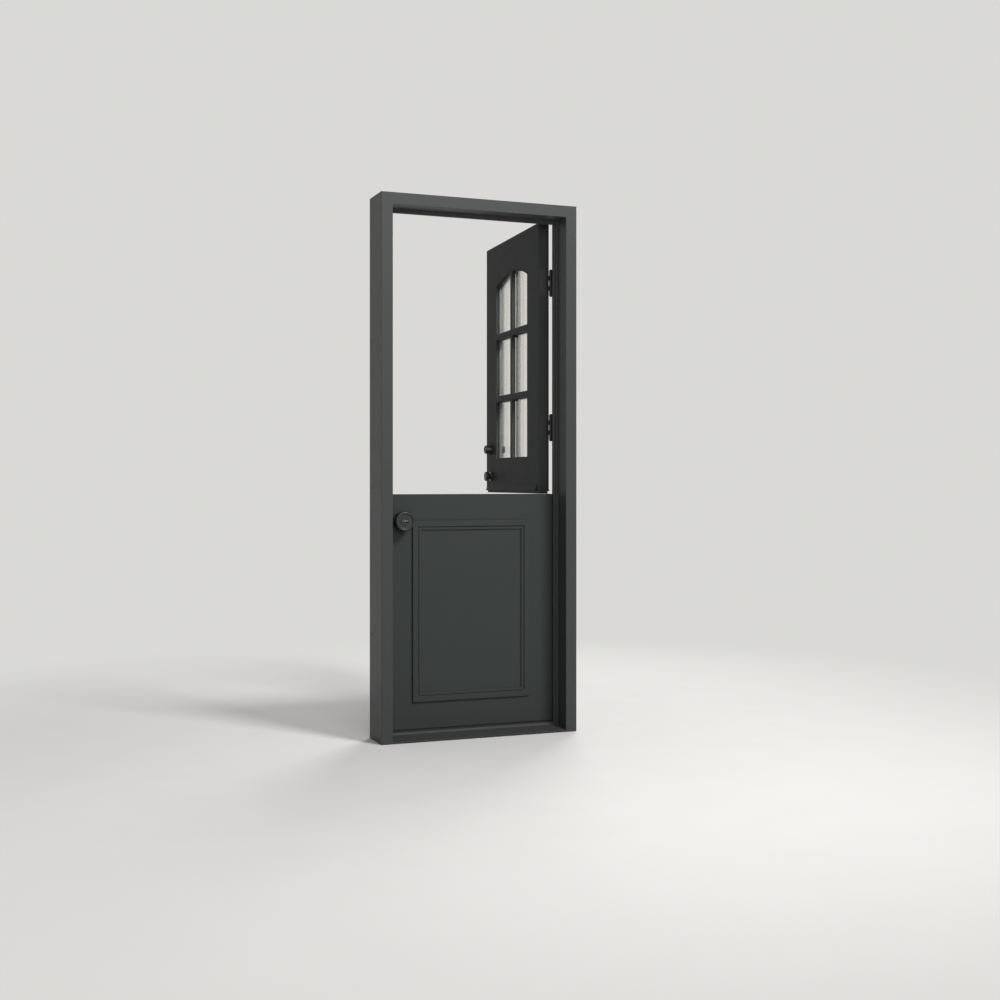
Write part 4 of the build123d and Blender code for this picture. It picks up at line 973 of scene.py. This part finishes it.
def looked_at(tree):
    """1 for camera, glossy and transmission rays, and 0 for the rest."""
    rays = node(tree, "ShaderNodeLightPath").outputs
    seen = maths(tree, "MAXIMUM", rays["Is Camera Ray"], rays["Is Glossy Ray"])
    return maths(tree, "MAXIMUM", seen, rays["Is Transmission Ray"])


def mixed_shader(tree, mask, first, second):
    """Two shaders mixed by a mask."""
    return node(tree, "ShaderNodeMixShader", {0: mask, 1: first, 2: second}).outputs[0]


def lay_floor(stage):
    """A wide disc that fades into the backdrop for rays that look at it."""
    mesh = bpy.data.meshes.new("floor")
    work = bmesh.new()
    bmesh.ops.create_circle(work, cap_ends=True, segments=FLOOR_SIDES, radius=FLOOR_RADIUS)
    work.to_mesh(mesh)
    work.free()
    floor = bpy.data.objects.new("floor", mesh)
    bpy.context.scene.collection.objects.link(floor)
    material = bpy.data.materials.new("pale_floor")
    tree = empty_tree(material)
    place = node(tree, "ShaderNodeTexCoord").outputs["Object"]
    fade = node(
        tree, "ShaderNodeMapRange",
        {"Value": length_of(tree, place), "From Min": FADE_FROM, "From Max": FADE_TO},
        interpolation_type="SMOOTHSTEP",
    ).outputs[0]
    mottle = node(
        tree, "ShaderNodeMapRange",
        {
            "Value": noise(tree, place, FLOOR_SCALE, detail=4.0),
            "To Min": MOTTLE_LOW, "To Max": MOTTLE_HIGH,
        },
    ).outputs[0]
    tone = scaled(tree, tuple(stage.floor_tone), mottle)
    near = node(tree, "ShaderNodeBsdfDiffuse", {"Color": tone}).outputs[0]
    flat = node(tree, "ShaderNodeEmission", {"Color": rgba(stage.backdrop)}).outputs[0]
    mask = maths(tree, "MULTIPLY", fade, looked_at(tree))
    node(tree, "ShaderNodeOutputMaterial", {"Surface": mixed_shader(tree, mask, near, flat)})
    mesh.materials.append(material)


def light_world(stage):
    """Even light from all sides, and the pale backdrop for rays that look at it."""
    world = bpy.data.worlds.new("studio")
    tree = empty_tree(world)
    even, pale = (
        node(tree, "ShaderNodeBackground", {"Color": rgba(tone), "Strength": strength}).outputs[0]
        for tone, strength in (((1, 1, 1), stage.ambient), (stage.backdrop, 1.0))
    )
    mixed = mixed_shader(tree, looked_at(tree), even, pale)
    node(tree, "ShaderNodeOutputWorld", {"Surface": mixed})
    bpy.context.scene.world = world


def hang_lamp(name, watts, size, place):
    """A square soft lamp that looks at the middle of the door and isn't seen itself."""
    light = bpy.data.lights.new(name, "AREA")
    light.energy, light.size = watts, size
    lamp = bpy.data.objects.new(name, light)
    lamp.location = place
    lamp.rotation_euler = (DOOR_MIDDLE - Vector(place)).to_track_quat("-Z", "Y").to_euler()
    lamp.visible_camera = lamp.visible_transmission = False
    bpy.context.scene.collection.objects.link(lamp)


def set_camera(stage):
    """A level camera to the left of the door."""
    lens = bpy.data.cameras.new("camera")
    lens.lens, lens.sensor_width, lens.shift_y = stage.lens, SENSOR_WIDTH, CAMERA_SHIFT
    camera = bpy.data.objects.new("camera", lens)
    camera.location = CAMERA_PLACE
    camera.rotation_euler = (RIGHT_ANGLE, 0, CAMERA_TURN)
    bpy.context.scene.collection.objects.link(camera)
    bpy.context.scene.camera = camera


# Operators


class STABLEDOOR_OT_stage(bpy.types.Operator):
    """Lay the pale floor, set the soft lamps and the camera"""

    bl_idname = "stable_door.stage"
    bl_label = "Stage"

    def execute(self, context):
        _, _, stage = settings()
        context.scene.view_settings.view_transform = "Standard"
        lay_floor(stage)
        light_world(stage)
        for name, size, place in LAMPS:
            hang_lamp(name, getattr(stage, name), size, place)
        set_camera(stage)
        return {"FINISHED"}


class STABLEDOOR_OT_frame(bpy.types.Operator):
    """Coat the jambs, the head, the stops and the sill"""

    bl_idname = "stable_door.frame"
    bl_label = "Frame and sill"

    def execute(self, context):
        dress(["hinge_jamb", "latch_jamb", "head_jamb"])
        dress(["hinge_side_stop", "latch_side_stop", "head_stop", "threshold"])
        return {"FINISHED"}


class STABLEDOOR_OT_leaves(bpy.types.Operator):
    """Coat the sheets, channels and cap of both leaves, and show the foam inside"""

    bl_idname = "stable_door.leaves"
    bl_label = "Leaves"

    def execute(self, context):
        for leaf in ("lower", "upper"):
            dress([f"{leaf}_outer_skin", f"{leaf}_inner_skin"])
            dress([f"{leaf}_leaf_channel", f"{leaf}_leaf_core"])
        dress(["meeting_cap"])
        return {"FINISHED"}


class STABLEDOOR_OT_mouldings(bpy.types.Operator):
    """Sweep the raised panel moulding of the lower leaf on both faces"""

    bl_idname = "stable_door.mouldings"
    bl_label = "Panel mouldings"

    def execute(self, context):
        sizes, _, _ = settings()
        tree = swept_rectangle_tree()
        profile = moulding_profile(sizes.moulding_width, sizes.moulding_height)
        section = [(-MITRE_STRETCH * inward, -outward) for inward, outward in profile]
        for side, facing in (("outer", FACING_OUT), ("inner", FACING_IN)):
            low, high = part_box(f"lower_{side}_moulding")
            middle = (low + high) / 2
            seat_y = high.y if side == "outer" else low.y
            mesh = grow(tree, loops_mesh("profile", [section]), {
                "Width": high.x - low.x, "Height": high.z - low.z,
                "Material": finish_of("leaf_paint"),
            })
            place = Matrix.Translation((middle.x, seat_y, middle.z)) @ facing
            replaced = [f"lower_{side}_moulding"]
            piece(f"panel_moulding_{side}", mesh, place, "lower_leaf", replaced)
        return {"FINISHED"}


class STABLEDOOR_OT_window(bpy.types.Operator):
    """Finish the window: bars, lining, bead, panes, spacer, and a gasket round each light"""

    bl_idname = "stable_door.window"
    bl_label = "Window"

    def execute(self, context):
        sizes, _, _ = settings()
        bars, panes = ("outer_window_bars", "inner_window_bars"), ("glass_outer", "glass_inner")
        dress([*bars, "window_surround", "glazing_bead", "glass_spacer", *panes])
        for name in panes:
            NODES[name].visible_shadow = False
        for name in bars:
            weld = NODES[name].modifiers.new("weld", "WELD")
            weld.merge_threshold = WELD_DISTANCE
            eased = NODES[name].modifiers.new("eased edges", "BEVEL")
            eased.width, eased.segments, eased.limit_method = sizes.bar_edge, 2, "ANGLE"
        self.gaskets(sizes)
        return {"FINISHED"}

    def gaskets(self, sizes):
        """Lay a gasket round each light, on the outer side of both panes."""
        tree = gasket_tree()
        low, high = shut_box("outer_window_bars")
        loops = light_loops(
            high.x, low.z, high.z, sizes.bar_width, sizes.arch_rise, sizes.light_height
        )
        outer_low, _ = shut_box("glass_outer")
        _, inner_high = shut_box("glass_inner")
        for side, facing, y in (
            ("outer", FACING_OUT, outer_low.y), ("inner", FACING_IN, inner_high.y)
        ):
            mesh = grow(tree, loops_mesh("lights", loops), {
                "Lip width": sizes.gasket_width, "Lip height": sizes.gasket_height,
                "Corner": sizes.gasket_corner, "Material": finish_of("rubber"),
            })
            place = SWUNG_OPEN @ Matrix.Translation((0, y, 0)) @ facing
            piece(f"glazing_gaskets_{side}", mesh, place, "upper_leaf")


class STABLEDOOR_OT_seals(bpy.types.Operator):
    """Give the bulb seal and the two finned strips their rubber"""

    bl_idname = "stable_door.seals"
    bl_label = "Seals"

    def execute(self, context):
        dress(["frame_seal", "meeting_seal", "bottom_sweep"])
        return {"FINISHED"}


class STABLEDOOR_OT_hinges(bpy.types.Operator):
    """Blacken the hinge plates and pins"""

    bl_idname = "stable_door.hinges"
    bl_label = "Hinges"

    def execute(self, context):
        dress(["frame_hinge_plates", "lower_hinge_plates", "upper_hinge_plates", "hinge_pins"])
        return {"FINISHED"}


class STABLEDOOR_OT_locks(bpy.types.Operator):
    """Finish knobs, roses and cylinder in turned black, and bolts, cases and strikes in steel"""

    bl_idname = "stable_door.locks"
    bl_label = "Locks"

    def execute(self, context):
        sizes, colours, _ = settings()
        for leaf, turn in (("lower", 0.0), ("upper", OPEN_ANGLE)):
            names = [
                f"{leaf}_{side}_{part}" for part in ("knob", "rose") for side in ("outer", "inner")
            ]
            self.blacken(f"{leaf}_knob", names, colours, turn)
        self.blacken("deadbolt_knob", ["deadbolt_cylinder", "deadbolt_rose"], colours, OPEN_ANGLE)
        dress(["thumb_turn"])
        self.keyed_knob(sizes, colours)
        for lock in ("lower_latch", "upper_latch", "deadbolt"):
            dress([f"{lock}_case", f"{lock}_bolt", f"{lock}_strike"])
        return {"FINISHED"}

    def blacken(self, label, names, colours, turn):
        """Dress nodes in black plate with its rings about the first one's axis."""
        low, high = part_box(names[0])
        axis_point = (low + high) / 2
        dress(names, turned_black(f"{label}_black", colours.knob_black, axis_point, turn))

    def keyed_knob(self, sizes, colours):
        """Turn the lower leaf's outdoor knob, and lay a bar across the slot in its plug."""
        low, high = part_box("lower_outer_knob")
        leaf_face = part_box("lower_outer_skin")[0].y
        front, spindle_end = leaf_face - low.y, leaf_face - high.y
        outline = knob_outline(sizes.knob_radius, sizes.plug_radius, front, spindle_end)
        mesh = grow(keyed_plug_tree(), turned_mesh("knob", outline), {
            "Slot width": sizes.key_slot_width, "Slot height": sizes.key_slot_height,
            "Slot depth": sizes.key_slot_depth, "Face": front - PLUG_SET_BACK,
            "Material": bpy.data.materials["lower_knob_black"],
        })
        centre = ((low.x + high.x) / 2, leaf_face, (low.z + high.z) / 2)
        place = Matrix.Translation(centre) @ FACING_OUT
        piece("keyed_knob", mesh, place, "lower_knob", ["lower_outer_knob"])
        # The bar's ends reach into the plug on both sides of the slot
        radius, half = sizes.key_bar, KEY_BAR_REACH * sizes.key_slot_width
        ease = KEY_BAR_EASE * radius
        bar = turned_mesh("bar", [
            (0.0, -half), (radius - ease, -half), (radius, ease - half),
            (radius, half - ease), (radius - ease, half), (0.0, half),
        ])
        bar.materials.append(metal("plug_steel", colours.plug_steel, roughness=0.42))
        lift = KEY_BAR_LIFT * sizes.key_slot_height
        depth = front - PLUG_SET_BACK - KEY_BAR_SUNK * radius
        across = Matrix.Translation((0, lift, depth)) @ ALONG_X
        piece("key_bar", bar, place @ across, "lower_knob")


class STABLEDOOR_OT_tie_bolt(bpy.types.Operator):
    """Finish the bolt that ties the two leaves together"""

    bl_idname = "stable_door.tie_bolt"
    bl_label = "Tie bolt"

    def execute(self, context):
        dress(["dutch_bolt_guide", "dutch_bolt_rod", "dutch_bolt_keeper"])
        return {"FINISHED"}


class STABLEDOOR_OT_screws(bpy.types.Operator):
    """Put a cross-recessed screw in each countersunk hole"""

    bl_idname = "stable_door.screws"
    bl_label = "Screws"

    def execute(self, context):
        sizes, _, _ = settings()
        tree = screws_tree()
        for seed, name in enumerate(("frame_screws", "lower_leaf_screws", "upper_leaf_screws")):
            places, axes = screw_points(name)
            start = bpy.data.meshes.new("screw_points")
            start.from_pydata(places, [], [])
            attribute = start.attributes.new("axis", "FLOAT_VECTOR", "POINT")
            attribute.data.foreach_set("vector", [value for axis in axes for value in axis])
            mesh = grow(tree, start, {
                "Head radius": sizes.screw_head, "Countersink": sizes.screw_countersink,
                "Shank radius": sizes.screw_shank, "Length": sizes.screw_length,
                "Recess length": sizes.recess_length, "Recess width": sizes.recess_width,
                "Recess depth": sizes.recess_depth, "Seed": seed,
                "Material": finish_of("hinge_metal"),
            })
            place = Matrix.Identity(4)
            piece(f"cross_{name}", mesh, place, BODY_OF[name], [name])
        return {"FINISHED"}


OPERATORS = (
    STABLEDOOR_OT_stage,
    STABLEDOOR_OT_frame,
    STABLEDOOR_OT_leaves,
    STABLEDOOR_OT_mouldings,
    STABLEDOOR_OT_window,
    STABLEDOOR_OT_seals,
    STABLEDOOR_OT_hinges,
    STABLEDOOR_OT_locks,
    STABLEDOOR_OT_tie_bolt,
    STABLEDOOR_OT_screws,
)


class STABLEDOOR_PT_panel(bpy.types.Panel):
    """Sizes, colours and steps of the stable door."""

    bl_label = "Stable Door"
    bl_idname = "STABLEDOOR_PT_panel"
    bl_space_type = "VIEW_3D"
    bl_region_type = "UI"
    bl_category = "Stable Door"

    def draw(self, context):
        layout = self.layout
        for values in settings():
            box = layout.box()
            for name in values.__annotations__:
                box.prop(values, name)
        for operator in OPERATORS:
            layout.operator(operator.bl_idname)


PROPERTY_GROUPS = {
    "stable_door_sizes": StableDoorSizes,
    "stable_door_colours": StableDoorColours,
    "stable_door_stage": StableDoorStage,
}


def register():
    """Add the settings, the steps and the panel."""
    for name, values in PROPERTY_GROUPS.items():
        bpy.utils.register_class(values)
        setattr(bpy.types.Scene, name, bpy.props.PointerProperty(type=values))
    for cls in (*OPERATORS, STABLEDOOR_PT_panel):
        bpy.utils.register_class(cls)


def unregister():
    """Take away what register added."""
    for cls in reversed((*OPERATORS, STABLEDOOR_PT_panel)):
        bpy.utils.unregister_class(cls)
    for name, values in PROPERTY_GROUPS.items():
        delattr(bpy.types.Scene, name)
        bpy.utils.unregister_class(values)


def main():
    """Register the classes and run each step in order."""
    register()
    for operator in OPERATORS:
        _, step = operator.bl_idname.split(".")
        getattr(bpy.ops.stable_door, step)()


if __name__ == "__main__":
    main()
